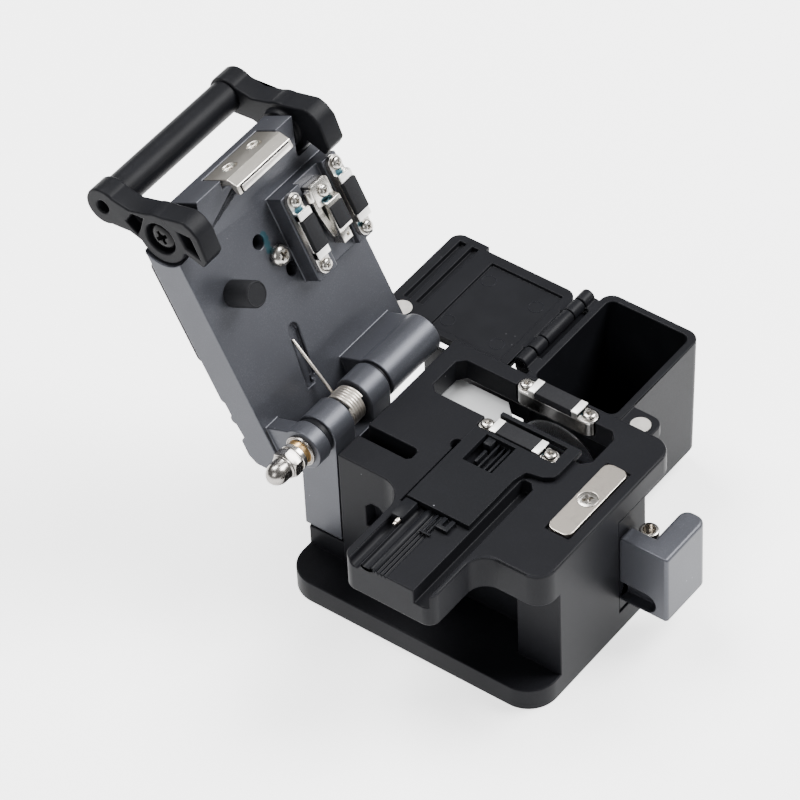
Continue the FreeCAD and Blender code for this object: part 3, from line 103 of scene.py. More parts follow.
class Finish:
    """One material: its texture nodes, and the shader they feed."""

    def __init__(self, name):
        self.material = bpy.data.materials.new(name)
        self.material.use_nodes = True
        self.tree = self.material.node_tree
        self.shader = self.tree.nodes["Principled BSDF"]
        self.place = self.node("ShaderNodeTexCoord", {}, {}, "Object")

    def node(self, kind, settings, values, out=0):
        """Add a node with its settings, feed its inputs and give back one output."""
        item = self.tree.nodes.new(kind)
        for key, value in settings.items():
            setattr(item, key, value)
        pairs = values.items() if isinstance(values, dict) else enumerate(values)
        for key, value in pairs:
            self.feed(item.inputs[key], value)
        return Val(self, item.outputs[out])

    def feed(self, socket, value):
        """Link a socket's input to another output, or set it to a plain value."""
        if isinstance(value, Val):
            self.tree.links.new(value.socket, socket)
        else:
            socket.default_value = value

    def noise(self, size, detail=2.0, rough=0.5, place=None):
        """Noise whose lumps are about size millimetres across."""
        return self.node("ShaderNodeTexNoise", {},
                         {"Vector": place or self.place, "Scale": 1 / (size * MM),
                          "Detail": detail, "Roughness": rough})

    def stretched(self, x, y, z):
        """The place with each axis multiplied, so that a pattern runs along the others."""
        return self.node("ShaderNodeVectorMath", {"operation": "MULTIPLY"},
                         [self.place, (x, y, z)])

    def blend(self, share, first, second):
        """A colour that goes from the first to the second as share goes from 0 to 1."""
        mixed = self.node("ShaderNodeMix", {"data_type": "RGBA"}, {0: share}, 2)
        item = mixed.socket.node
        self.feed(item.inputs[6], first)
        self.feed(item.inputs[7], second)
        return mixed

    def near(self, points, radius, ragged=0.5):
        """1 near any of some points in millimetres, with a ragged edge."""
        noise = self.noise(0.8, 3.0) * ragged
        nearest = None
        for point in points:
            away = self.node("ShaderNodeVectorMath", {"operation": "DISTANCE"},
                             [self.place, tuple(v * MM for v in point)], "Value")
            nearest = away if nearest is None else nearest.math("MINIMUM", away)
        return 1 - (nearest / (radius * MM) + noise).over(0.85, 1.25)

    def edges(self, radius):
        """1 along the sharp edges and 0 on the open faces."""
        eased = self.node("ShaderNodeBevel", {"samples": 6}, {"Radius": radius * MM})
        plain = self.node("ShaderNodeNewGeometry", {}, {}, "Normal")
        same = self.node("ShaderNodeVectorMath", {"operation": "DOT_PRODUCT"},
                         [eased, plain], "Value")
        return (1 - same).over(0.02, 0.22)

    def bump(self, height, depth):
        """Fine relief of a depth in millimetres."""
        self.feed(self.shader.inputs["Normal"],
                  self.node("ShaderNodeBump", {},
                            {"Height": height, "Distance": depth * MM, "Strength": 1.0}))

    def put(self, **values):
        """Feed the shader's main inputs, by short names."""
        names = {"colour": "Base Color", "rough": "Roughness", "metal": "Metallic",
                 "spec": "Specular IOR Level"}
        for key, value in values.items():
            self.feed(self.shader.inputs[names[key]], value)


def shade(colour, factor):
    """A colour made darker or lighter, with alpha 1."""
    return (*[min(1.0, v * factor) for v in colour[:3]], 1)


def dust(finish, size, share):
    """Rare pale specks."""
    cells = finish.node("ShaderNodeTexVoronoi", {"feature": "F1"},
                        {"Vector": finish.place, "Scale": 1 / (size * MM)}, "Distance")
    chance = finish.noise(size * 5, 1.0)
    return (1 - cells.over(0.05, 0.11)) * chance.over(1 - share, 1 - share + 0.03)


TEAL = (0.006, 0.045, 0.060, 1)
DUST_ON_METAL = (0.35, 0.36, 0.38, 1)
DUST_ON_PLASTIC = (0.3, 0.3, 0.32, 1)


def anodised(name, colour, rough, metal=0.5, edge=1.9, spec=0.4, teal=(), radius=1.0):
    """Bead-blasted and anodised aluminium: fine grain, faint clouding, dust, and paler edges, part
    wear and part painted highlight.
    """
    finish = Finish(name)
    grain = finish.noise(0.26, 3.0, 0.75)
    cloud = finish.noise(9.0, 3.0)
    base = finish.blend(cloud.over(0.35, 0.7), shade(colour, 0.90), shade(colour, 1.08))
    base = finish.blend(grain.over(0.42, 0.62), shade(colour, 0.86), base)
    base = finish.blend(grain.over(0.56, 0.74), base, shade(colour, 1.45))
    # Paler edges: partly wear, partly a painted highlight where light catches the edges.
    wear_and_highlight = finish.edges(0.22) * (0.55 + finish.noise(1.5, 3.0) * 0.7)
    base = finish.blend(wear_and_highlight, base, shade(colour, edge))
    base = finish.blend(dust(finish, 1.6, 0.33) * 0.5, base, DUST_ON_METAL)
    if teal:
        base = finish.blend(finish.near(teal, radius) * 0.85, base, TEAL)
    finish.put(colour=base, metal=metal, rough=rough + (grain - 0.5) * 0.12 - wear_and_highlight * 0.08,
               spec=spec)
    finish.bump(grain + cloud * 0.3, 0.010)
    return finish.material


def steel(name, colour, rough, brushed=None, teal=(), radius=1.2, stain=0.12, depth=0.004,
          metal=1.0, painted_shade_below=None):
    """Plated or ground steel: fine lines along one axis, soft stains, and painted shade below a
    height.
    """
    finish = Finish(name)
    place = finish.stretched(*brushed) if brushed else finish.place
    lines = finish.noise(0.12, 3.0, 0.65, place)
    cloud = finish.noise(2.4, 4.0)
    base = finish.blend(cloud.over(0.38, 0.72), colour + (1,), shade(colour, 1 - stain))
    base = finish.blend(lines.over(0.45, 0.75) * 0.35, base, shade(colour, 1.12))
    # Painted shade: the colour drops to nearly black below a height.
    if painted_shade_below:
        height = finish.node("ShaderNodeSeparateXYZ", {}, [finish.place], 2)
        base = finish.blend(height.over(painted_shade_below[0] * MM, painted_shade_below[1] * MM),
                            shade(colour, 0.14), base)
    if teal:
        base = finish.blend(finish.near(teal, radius) * 0.95, base, TEAL)
    finish.put(colour=base, metal=metal, rough=rough + (lines - 0.5) * 0.16 + cloud * 0.06)
    finish.bump(lines, depth)
    return finish.material


def plastic(name, colour, rough, grain_size=0.22, depth=0.012, edge=1.7):
    """Moulded plastic with a fine spark-eroded texture, and paler edges, part wear and part
    painted highlight.
    """
    finish = Finish(name)
    grain = finish.noise(grain_size, 2.0, 0.6)
    cloud = finish.noise(7.0, 3.0)
    # Paler edges: partly wear, partly a painted highlight where light catches the edges.
    wear_and_highlight = finish.edges(0.25)
    base = finish.blend(cloud.over(0.35, 0.7), shade(colour, 0.9), shade(colour, 1.12))
    base = finish.blend(wear_and_highlight * 0.7, base, shade(colour, edge))
    base = finish.blend(dust(finish, 1.9, 0.30) * 0.1, base, DUST_ON_PLASTIC)
    finish.put(colour=base, rough=rough + (grain - 0.5) * 0.18 - wear_and_highlight * 0.1, spec=0.075)
    finish.bump(grain, depth)
    return finish.material


def rubber(name, colour):
    """Matt black rubber with a fine grain."""
    finish = Finish(name)
    grain = finish.noise(0.3, 3.0, 0.6)
    base = finish.blend(grain.over(0.4, 0.65), colour + (1,), shade(colour, 1.35))
    finish.put(colour=base, rough=0.62 + grain * 0.15, spec=0.12)
    finish.bump(grain, 0.02)
    return finish.material


def brass(name):
    """Turned brass with darker tarnish."""
    finish = Finish(name)
    lines = finish.noise(0.12, 3.0, 0.6, finish.stretched(8, 1, 1))
    tarnish = finish.noise(1.4, 4.0)
    base = finish.blend(tarnish.over(0.4, 0.75), (0.52, 0.34, 0.15, 1), (0.26, 0.16, 0.07, 1))
    finish.put(colour=base, metal=1.0, rough=0.26 + lines * 0.15)
    finish.bump(lines, 0.004)
    return finish.material


def under_lid(x, out, z):
    """Where a point of the closed lid lies with the lid open, in millimetres."""
    return tuple(OPEN_LID @ (Vector((x, -out, z)) * MM) / MM)


# Blue-green locking paint that has run beside the screws
LOW_CLAMP_PAINT = [(22.6, -11.6, 38.3), (8.7, -11.6, 38.3), (22.6, -13.3, 38.0)]
HIGH_CLAMP_PAINT = [under_lid(x, out, 1.7) for x, out in ((8.3, 40.3), (22.2, 40.3), (9.2, 40.6),
                                                         (22.8, 40.6), (21.4, 27.9))]
LID_PAINT = [under_lid(x, out, 7.4) for x, out in ((1.5, 35.0), (1.7, 36.2), (1.9, 37.4),
                                                  (1.8, 38.4))]
YOKE_PAINT = [under_lid(x, 55.5, z) for x, z in ((-1.3, 5.6), (6.8, 5.6), (-0.9, 6.5), (7.2, 6.5))]
LEVER_PAINT = [under_lid(x, out, 1.8) for x, out in ((16.2, 37.5), (15.6, 37.6), (16.8, 37.7))]
GREY = (0.046, 0.048, 0.057)
CLAMP_STEEL = (0.62, 0.60, 0.57)
LOOK = {
    "body": anodised("body_black_anodised", (0.0075, 0.0077, 0.0092), 0.42, 0.0, spec=0.055),
    "guide": anodised("guide_black_anodised", (0.0066, 0.0069, 0.0083), 0.40, 0.0, edge=3.0,
                      spec=0.07),
    "grey": anodised("lid_grey_anodised", GREY, 0.42, 0.55, edge=2.2),
    "lid": anodised("lid_grey_anodised_painted", GREY, 0.42, 0.55, edge=2.2, teal=LID_PAINT,
                    radius=1.1),
    "steel": steel("nickel_plated_steel", (0.60, 0.55, 0.49), 0.26, (1, 6, 6), depth=0.0015),
    # Painted shade on the lower clamps below the deck's top, where they sit in its pocket.
    "low_clamp": steel("nickel_low_clamp", CLAMP_STEEL, 0.26, (6, 1, 6),
                       LOW_CLAMP_PAINT, 1.0, painted_shade_below=(37.2, 37.7)),
    "high_clamp": steel("nickel_high_clamp", CLAMP_STEEL, 0.26, (6, 1, 1),
                        HIGH_CLAMP_PAINT, 1.1),
    "lever": steel("nickel_anvil", (0.60, 0.58, 0.54), 0.24, (6, 1, 1), LEVER_PAINT, 1.1),
    "nut": steel("bright_nut", (0.27, 0.255, 0.24), 0.23, (0.3, 0.3, 0.3), depth=0.0, stain=0.04),
    "white_metal": steel("white_metal_end_block", (0.86, 0.85, 0.83), 0.42, (1, 6, 1), stain=0.05,
                         depth=0.001, metal=0.55),
    "blade": steel("ground_blade_steel", (0.80, 0.81, 0.84), 0.26, (6, 1, 1), stain=0.05,
                   depth=0.001),
    "yoke": steel("nickel_yoke", (0.56, 0.53, 0.48), 0.28, (1, 6, 6), YOKE_PAINT, 0.9),
    "screw": steel("bright_screw_nickel", (0.46, 0.44, 0.41), 0.22, (0.3, 0.3, 0.3), depth=0.001,
                   stain=0.06),
    "polished": steel("polished_ground_steel", (0.40, 0.405, 0.41), 0.38, (1, 1, 6), stain=0.05,
                      depth=0.001, metal=0.4),
    "spring": steel("bright_spring_wire", (0.56, 0.52, 0.47), 0.32, (0.2, 0.2, 0.2), depth=0.0,
                    stain=0.04),
    "magnet": steel("magnet_nickel_dull", (0.74, 0.71, 0.67), 0.34, stain=0.2),
    "brass": brass("turned_brass"),
    "rubber": rubber("black_rubber_pad", (0.0085, 0.0086, 0.0098)),
    "stop": rubber("bumper_black_rubber", (0.0070, 0.0072, 0.0084)),
    "plastic": plastic("moulded_black_plastic", (0.0050, 0.0052, 0.0064), 0.46, edge=2.6),
    "bin": plastic("bin_black_plastic", (0.0055, 0.0057, 0.007), 0.45, edge=2.4),
    "black_screw": plastic("blackened_screw_steel", (0.004, 0.004, 0.0045), 0.22, depth=0.002),
}
NODE_LOOK = {
    "body": "main_body slide_rail carriage",
    "guide": "fibre_guide_plate guide_block guide_clip spacer_washers",
    "grey": "hinge_bracket slider_knob",
    "lid": "lid_arm",
    "low_clamp": "near_lower_clamp far_lower_clamp",
    "high_clamp": "near_upper_clamp far_upper_clamp",
    "lever": "anvil",
    "yoke": "magnet_yoke",
    "steel": "strike_plate guide_pin blade_hub roller_pin",
    "screw": "near_clamp_screws far_clamp_screws near_upper_screws far_upper_screws strike_screw "
             "yoke_screws lid_screw blade_screw hex_nut acorn_nut slider_roller",
    "polished": "carriage_plate cutting_blade hinge_pin",
    "spring": "torsion_spring",
    "magnet": "yoke_magnet flap_magnet bin_magnet",
    "brass": "brass_bushes pin_washer",
    "rubber": "near_lower_pad far_lower_pad near_upper_pad far_upper_pad anvil_pad",
    "stop": "bumper_pin",
    "plastic": "lid_top_pad left_handle_arm right_handle_arm handle_bar",
    "bin": "scrap_bin bin_flap",
    "black_screw": "handle_screws flap_hinge_pin",
}
look_of = {node: LOOK[key] for key, names in NODE_LOOK.items() for node in names.split()}


def paint(item, material):
    """Give a piece one material."""
    item.data.materials.clear()
    item.data.materials.append(material)


for node, item in nodes.items():
    paint(item, look_of[node])


# ---------------------------------------------------------------- dressed copies of the solids
def only(item):
    """Make a piece the only one selected, and active."""
    bpy.ops.object.select_all(action="DESELECT")
    item.select_set(True)
    bpy.context.view_layer.objects.active = item


def modify(item, kind, **settings):
    """Add a modifier with its settings and apply it."""
    only(item)
    modifier = item.modifiers.new(kind.lower(), kind)
    for key, value in settings.items():
        setattr(modifier, key, value)
    bpy.ops.object.modifier_apply(modifier=modifier.name)


def smooth(item, angle=32):
    """Smooth shading, with edges sharper than an angle kept sharp."""
    only(item)
    bpy.ops.object.shade_smooth_by_angle(angle=math.radians(angle))


def dressed(node, width, segments=2, angle=28, cuts=()):
    """A copy of a solid with its triangles merged into faces and its sharp edges broken."""
    source = nodes[node]
    item = bpy.data.objects.new(node + "_dressed", source.data.copy())
    bpy.context.scene.collection.objects.link(item)
    work = bmesh.new()
    work.from_mesh(item.data)
    bmesh.ops.remove_doubles(work, verts=work.verts, dist=2e-6)
    bmesh.ops.dissolve_degenerate(work, edges=work.edges, dist=2e-6)
    bmesh.ops.dissolve_limit(work, angle_limit=math.radians(0.7), verts=work.verts,
                             edges=work.edges)
    work.to_mesh(item.data)
    work.free()
    cut_with(item, *cuts)
    only(item)
    bpy.ops.object.shade_smooth()
    modify(item, "BEVEL", width=width * MM, segments=segments, limit_method="ANGLE",
           angle_limit=math.radians(angle), use_clamp_overlap=False)
    modify(item, "WEIGHTED_NORMAL", mode="FACE_AREA", weight=100, keep_sharp=True)
    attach(item, source["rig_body"])
    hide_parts(node)
    return item


# ---------------------------------------------------------------- ways of modelling
def leave():
    """Back from edit mode to object mode."""
    bpy.ops.object.mode_set(mode="OBJECT")


def pick(item, test):
    """Open a piece with only the faces chosen whose middle (mm) and normal pass a test."""
    only(item)
    bpy.ops.object.mode_set(mode="EDIT")
    bpy.ops.mesh.select_mode(type="FACE")
    bpy.ops.mesh.select_all(action="DESELECT")
    work = bmesh.from_edit_mesh(item.data)
    for face in work.faces:
        if test(face.calc_center_median() / MM, face.normal):
            face.select_set(True)
    bmesh.update_edit_mesh(item.data)


def facing_out(item):
    """Merge doubles and turn every face outwards."""
    only(item)
    bpy.ops.object.mode_set(mode="EDIT")
    bpy.ops.mesh.select_all(action="SELECT")
    bpy.ops.mesh.remove_doubles(threshold=1e-6)
    bpy.ops.mesh.normals_make_consistent(inside=False)
    leave()


def seat(item, place=None):
    """Set a piece at its place and leave its object at the origin, unturned."""
    if place is not None:
        item.matrix_world = place @ item.matrix_world
    only(item)
    bpy.ops.object.transform_apply(location=True, rotation=True, scale=True)
    return item


def at(point, towards=(0, 0, 1), turn=0, lid=False):
    """A place in millimetres, with the piece's +Z pointing a given way."""
    place = (Matrix.Translation(Vector(point) * MM)
             @ Vector(towards).to_track_quat("Z", "Y").to_matrix().to_4x4()
             @ Matrix.Rotation(math.radians(turn), 4, "Z"))
    return OPEN_LID @ place if lid else place


def turned(name, rings, hollow=False, segments=40):
    """A round piece along +Z: each ring (radius, height) is pulled out of the last one."""
    bpy.ops.object.select_all(action="DESELECT")
    radius, height = rings[0]
    bpy.ops.mesh.primitive_circle_add(vertices=segments, radius=radius * MM,
                                      fill_type="NOTHING" if hollow else "NGON",
                                      location=(0, 0, height * MM))
    item = bpy.context.object
    item.name = name
    bpy.ops.object.mode_set(mode="EDIT")
    bpy.ops.mesh.select_mode(type="VERT")
    bpy.ops.mesh.select_all(action="SELECT")
    for wide, high in rings[1:]:
        bpy.ops.mesh.extrude_region_move(
            TRANSFORM_OT_translate={"value": (0, 0, (high - height) * MM)})
        bpy.ops.transform.resize(value=(wide / radius, wide / radius, 1),
                                 center_override=(0, 0, high * MM))
        radius, height = wide, high
    if hollow:
        bpy.ops.mesh.select_mode(type="EDGE")
        bpy.ops.mesh.select_all(action="DESELECT")
        bpy.ops.mesh.select_non_manifold()
        bpy.ops.mesh.bridge_edge_loops()
    leave()
    facing_out(item)
    return seat(item)


def block(name, low, high, bevel=0.0):
    """A block between two corners in millimetres, its edges broken when a bevel is given."""
    low, high = Vector(low), Vector(high)
    bpy.ops.object.select_all(action="DESELECT")
    bpy.ops.mesh.primitive_cube_add(size=1, location=(low + high) / 2 * MM)
    item = bpy.context.object
    item.name = name
    item.scale = (high - low) * MM
    seat(item)
    if bevel:
        modify(item, "BEVEL", width=bevel * MM, segments=2, limit_method="ANGLE")
    return item


def cut_with(item, *tools, operation="DIFFERENCE"):
    """Cut pieces out of an item, or keep only what it shares with them."""
    for tool in tools:
        modify(item, "BOOLEAN", operation=operation, object=tool, solver="EXACT")
        bpy.data.objects.remove(tool)


def joined(name, *items):
    """Several pieces made one object."""
    bpy.ops.object.select_all(action="DESELECT")
    for item in items:
        item.select_set(True)
    bpy.context.view_layer.objects.active = items[0]
    if len(items) > 1:
        bpy.ops.object.join()
    items[0].name = name
    return items[0]


def copy_of(item, place):
    """A copy with its own mesh, set at another place."""
    twin = bpy.data.objects.new("copy", item.data.copy())
    bpy.context.scene.collection.objects.link(twin)
    return seat(twin, place)


def fit(item, body, look, *stands_for, angle=32):
    """Finish a piece: its shading, material, body and the solids that it stands for."""
    smooth(item, angle)
    paint(item, LOOK[look])
    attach(item, body)
    if stands_for:
        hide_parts(*stands_for)
    return item


def lidded(*items):
    """Carry pieces drawn in the closed lid's place to the open lid."""
    for item in items:
        seat(item, OPEN_LID)
    return items


def strip(name, start, end, wide, deep, bevel=0.05):
    """A flat bar that runs from one point to another."""
    start, end = Vector(start), Vector(end)
    bar = block(name, (-wide / 2, -deep / 2, 0), (wide / 2, deep / 2, (end - start).length), bevel)
    return seat(bar, at(start, end - start))


# ---------------------------------------------------------------- the solids, dressed
def body_cuts():
    """The slit along the guide plate's back edge, with a wider round end."""
    slit = block("slit", (-18.5, 3.75, 35.2), (0.6, 4.75, 39))
    end = seat(turned("slit_end", [(1.35, -3.0), (1.35, 1.0)], segments=32),
               at((0.9, 4.6, DECK_TOP)))
    return slit, end


def lid_cuts():
    """The spring's slot, wide and shallow with a round end, and the dimple beside it."""
    dimple = seat(turned("dimple", [(0.35, -1.0), (0.8, -0.7), (1.1, 0.0), (1.1, 1.0)],
                         segments=24), at((-3.4, -6.2, LID_FACE), (0, 0, -1), 0, True))
    slot = strip("slot", (-3.6, -6.6, 7.8), (-1.95, -17.3, 7.8), 3.0, 1.6)
    slot_end = seat(turned("slot_end", [(1.5, 0.0), (1.5, 1.6)], segments=32),
                    at((-1.95, -17.3, 7.0)))
    return (dimple, *lidded(slot, slot_end))


dressed("main_body", 0.28, cuts=body_cuts())
dressed("carriage_plate", 0.15, cuts=(block("cut", (13.0, -1.0, 29.0), (22.5, 3.6, 33.0)),))
dressed("lid_arm", 0.3, cuts=lid_cuts())
for node, width in (("hinge_bracket", 0.3), ("slider_knob", 0.3), ("scrap_bin", 0.3),
                    ("bin_flap", 0.2), ("left_handle_arm", 0.45), ("right_handle_arm", 0.45),
                    ("lid_top_pad", 0.4), ("fibre_guide_plate", 0.12), ("strike_plate", 0.15),
                    ("near_lower_clamp", 0.12), ("far_lower_clamp", 0.12),
                    ("near_upper_clamp", 0.12), ("far_upper_clamp", 0.12), ("magnet_yoke", 0.2)):
    dressed(node, width)


# ---------------------------------------------------------------- screws
RECESS = (0.60, 0.15)       # a cross arm's length and width, as shares of the head's width
FLAT_RECESS = (0.70, 0.19)


def cross_bar(across, deep, top, long, wide):
    """One arm of a cross recess: a bar that narrows as it goes down into the head."""
    bar = block("recess", (-across * long / 2, -across * wide / 2, top - deep),
                (across * long / 2, across * wide / 2, top + 0.4))
    pick(bar, lambda middle, normal: normal.z < -0.9)
    bpy.ops.transform.resize(value=(0.35, 0.6, 1), center_override=(0, 0, (top - deep) * MM))
    leave()
    return bar


def screw(name, across, high, shank, long, flat=False):
    """A screw stood on its seat: shank below, head above, with a cross recess and a dimple."""
    r = across / 2
    rings = [(shank / 2, -long), (shank / 2, 0)]
    if flat:
        rings = [(shank / 2, -long), (shank / 2, -high), (r * 0.98, -0.16), (r, -0.10), (r, -0.03),
                 (r - 0.08, 0)]
        top = 0
    else:
        rings += [(r * 0.88, 0), (r * 0.98, high * 0.10), (r, high * 0.22), (r, high * 0.46),
                  (r * 0.96, high * 0.64), (r * 0.88, high * 0.80), (r * 0.74, high * 0.92),
                  (r * 0.56, high)]
        top = high
    item = turned(name, rings)
    deep = min(high * 0.75, across * 0.28)
    for turn in (0, 90):
        bar = cross_bar(across, deep, top, *(FLAT_RECESS if flat else RECESS))
        if turn:
            seat(bar, Matrix.Rotation(math.radians(90), 4, "Z"))
        cut_with(item, bar)
    dimple = turned("dimple", [(across * 0.05, top - deep * 1.1), (across * 0.15, top + 0.1)],
                    segments=16)
    cut_with(item, dimple)
    return item


def screw_set(node, body, kind, places, look="screw"):
    """The screws of one node, copied from one screw and joined."""
    heads = [copy_of(kind, place) for place in places]
    fit(joined(node + "_cross_head", *heads), body, look, node)


clamp_screw = screw("clamp_screw", 2.9, 1.0, 1.9, 3.4)
for (side, x), turns in zip(CLAMPS, ((20, 52), (8, -24))):
    screw_set(side + "_clamp_screws", "base", clamp_screw,
              [at((x, y, DECK_TOP), turn=turn) for y, turn in zip((-13.3, 2.5), turns)])
for (side, x), turns in zip(CLAMPS, ((12, 48), (70, 30))):
    screw_set(side + "_upper_screws", "lid", clamp_screw,
              [at((x, -34.3 + 7.9 * way, 2.1), (0, 0, -1), turn, True)
               for way, turn in zip((-1, 1), turns)])
bpy.data.objects.remove(clamp_screw)

lid_screw = screw("lid_screw", 4.8, 1.9, 2.4, 3.6)
screw_set("lid_screw", "lid", lid_screw, [at((3.0, -32.6, LID_FACE), (0, 0, -1), 26, True)])
bpy.data.objects.remove(lid_screw)

yoke_screw = screw("yoke_screw", 3.05, 0.85, 1.7, 2.6)
screw_set("yoke_screws", "lid", yoke_screw,
          [at((x, -54.9, 5.35), (0, -1, 0), turn, True) for x, turn in ((0.15, 15), (8.25, 60))],
          "yoke")
bpy.data.objects.remove(yoke_screw)

strike_screw = screw("strike_screw", 4.3, 1.1, 2.2, 4.0, flat=True)
screw_set("strike_screw", "base", strike_screw, [at((2.75, -26.8, 38.47), turn=-38)])
bpy.data.objects.remove(strike_screw)

blade_screw = screw("blade_screw", 6.0, 1.4, 2.9, 2.6)
screw_set("blade_screw", "blade", blade_screw, [at((16.6, -10.2, 29.2), (1, 0, 0), 20)])
bpy.data.objects.remove(blade_screw)

pivot_screw = screw("pivot_screw", 6.4, 1.8, 2.9, 6.8)
screw_set("handle_screws", "lid", pivot_screw,
          [at((-17.75, *HANDLE_PIVOT), (-1, 0, 0), 12, True),
           at((23.55, *HANDLE_PIVOT), (1, 0, 0), 40, True)], "black_screw")
bpy.data.objects.remove(pivot_screw)


# ---------------------------------------------------------------- nuts, washer and bushes
def along_pin(x):
    """On the hinge pin at an x, looking out to the left."""
    return at((x, *PIN), (-1, 0, 0))


def hexagon_nut(name, across_flats, low, high, ease):
    """A hexagon whose corners are turned down at both ends."""
    corner = across_flats / 2 / math.cos(math.radians(30))
    nut = turned(name, [(corner, low), (corner, high)], segments=6)
    cone = turned("ease", [(across_flats / 2 - 0.10, low), (corner + 0.02, low + ease),
                           (corner + 0.02, high - ease), (across_flats / 2 - 0.10, high)],
                  segments=48)
    cut_with(nut, cone, operation="INTERSECT")
    modify(nut, "BEVEL", width=0.06 * MM, segments=2, limit_method="ANGLE",
           angle_limit=math.radians(35))
    return nut


fit(seat(hexagon_nut("hex_nut_turned", 5.7, 0.0, 2.7, 0.40), along_pin(-22.7)), "base", "nut",
    "hex_nut")

dome = turned("acorn_nut_domed", [(2.0, -0.1), (2.72, 0.0), (2.82, 0.12), (2.80, 0.32),
                                  (2.52, 0.55), (2.46, 0.8), (2.46, 2.2)]
              + [(2.46 * math.cos(math.radians(a)), 2.2 + 2.8 * math.sin(math.radians(a)))
                 for a in range(9, 85, 9)] + [(0.15, 4.99)], segments=48)
fit(seat(dome, along_pin(-25.4)), "base", "nut", "acorn_nut")

washer = turned("split_washer", [(2.05, 0.0), (3.0, 0.0), (3.1, 0.10), (3.1, 1.0), (3.0, 1.1),
                                 (2.05, 1.1)], hollow=True, segments=48)
fit(seat(washer, along_pin(-21.6)), "base", "screw", "pin_washer")

outer_bush = turned("outer_bush", [(2.02, -3.8), (2.8, -3.8), (2.8, 1.75), (2.72, 1.9),
                                   (2.1, 1.9), (2.02, 1.82)], hollow=True, segments=48)
long_bush = turned("long_bush", [(2.02, -41.8), (2.8, -41.8), (2.8, -25.1), (2.02, -25.1)],
                   hollow=True, segments=48)
fit(seat(joined("brass_bushes_turned", outer_bush, long_bush), along_pin(-19.6)), "lid", "brass",
    "brass_bushes")
flange = turned("bush_flange", [(2.84, 0.0), (3.6, 0.0), (3.6, 0.42), (3.54, 0.56), (3.42, 0.60),
                                (3.32, 0.54), (3.26, 0.36), (3.16, 0.36), (3.10, 0.50),
                                (3.0, 0.56), (2.84, 0.50)], hollow=True, segments=56)
fit(seat(flange, along_pin(-19.6)), "lid", "nut", "brass_bushes")


# ---------------------------------------------------------------- spring
def wire(name, start, end, radius):
    """Straight round wire between two points in millimetres, with eased ends."""
    start, end = Vector(start), Vector(end)
    long = (end - start).length
    rod = turned(name, [(radius * 0.6, 0), (radius * 0.93, radius * 0.15), (radius, radius * 0.4),
                        (radius, long - radius * 0.4), (radius * 0.93, long - radius * 0.15),
                        (radius * 0.6, long)], segments=16)
    return seat(rod, at(start, end - start))


def spring():
    """Close coils on the hinge pin, with one leg under the bracket and one on the lid."""
    bpy.ops.object.select_all(action="DESELECT")
    turns, pitch, ring, gauge, steps = 6, 0.735, 3.62, 0.37, 44
    bpy.ops.mesh.primitive_circle_add(vertices=14, radius=gauge * MM,
                                      location=(0, ring * MM, 0))
    coil = bpy.context.object
    coil.name = "spring_coils"
    seat(coil)
    only(coil)
    turn = coil.modifiers.new("coils", "SCREW")
    turn.axis, turn.angle, turn.screw_offset = "X", math.radians(360), pitch * MM
    turn.iterations, turn.steps, turn.render_steps = turns, steps, steps
    turn.use_smooth_shade = True
    bpy.ops.object.modifier_apply(modifier=turn.name)
    bpy.ops.object.mode_set(mode="EDIT")
    bpy.ops.mesh.select_mode(type="EDGE")
    bpy.ops.mesh.select_all(action="DESELECT")
    bpy.ops.mesh.select_non_manifold()
    bpy.ops.mesh.edge_face_add()
    leave()
    facing_out(coil)
    start = math.radians(225)
    seat(coil, Matrix.Translation(Vector((-6.85, *PIN)) * MM)
         @ Matrix.Rotation(start - math.radians(90), 4, "X"))
    low = (PIN[0] + ring * math.cos(start), PIN[1] + ring * math.sin(start))
    foot = wire("spring_foot", (-6.9, *low), (-1.9, *low), gauge)
    fit(joined("torsion_spring_coils", coil, foot), "base", "spring", "torsion_spring", angle=65)
    leg = wire("torsion_spring_leg", (-2.85, -0.6, 3.62), (-2.85, -15.5, 8.35), gauge)
    fit(*lidded(leg), "lid", "spring", angle=65)


spring()


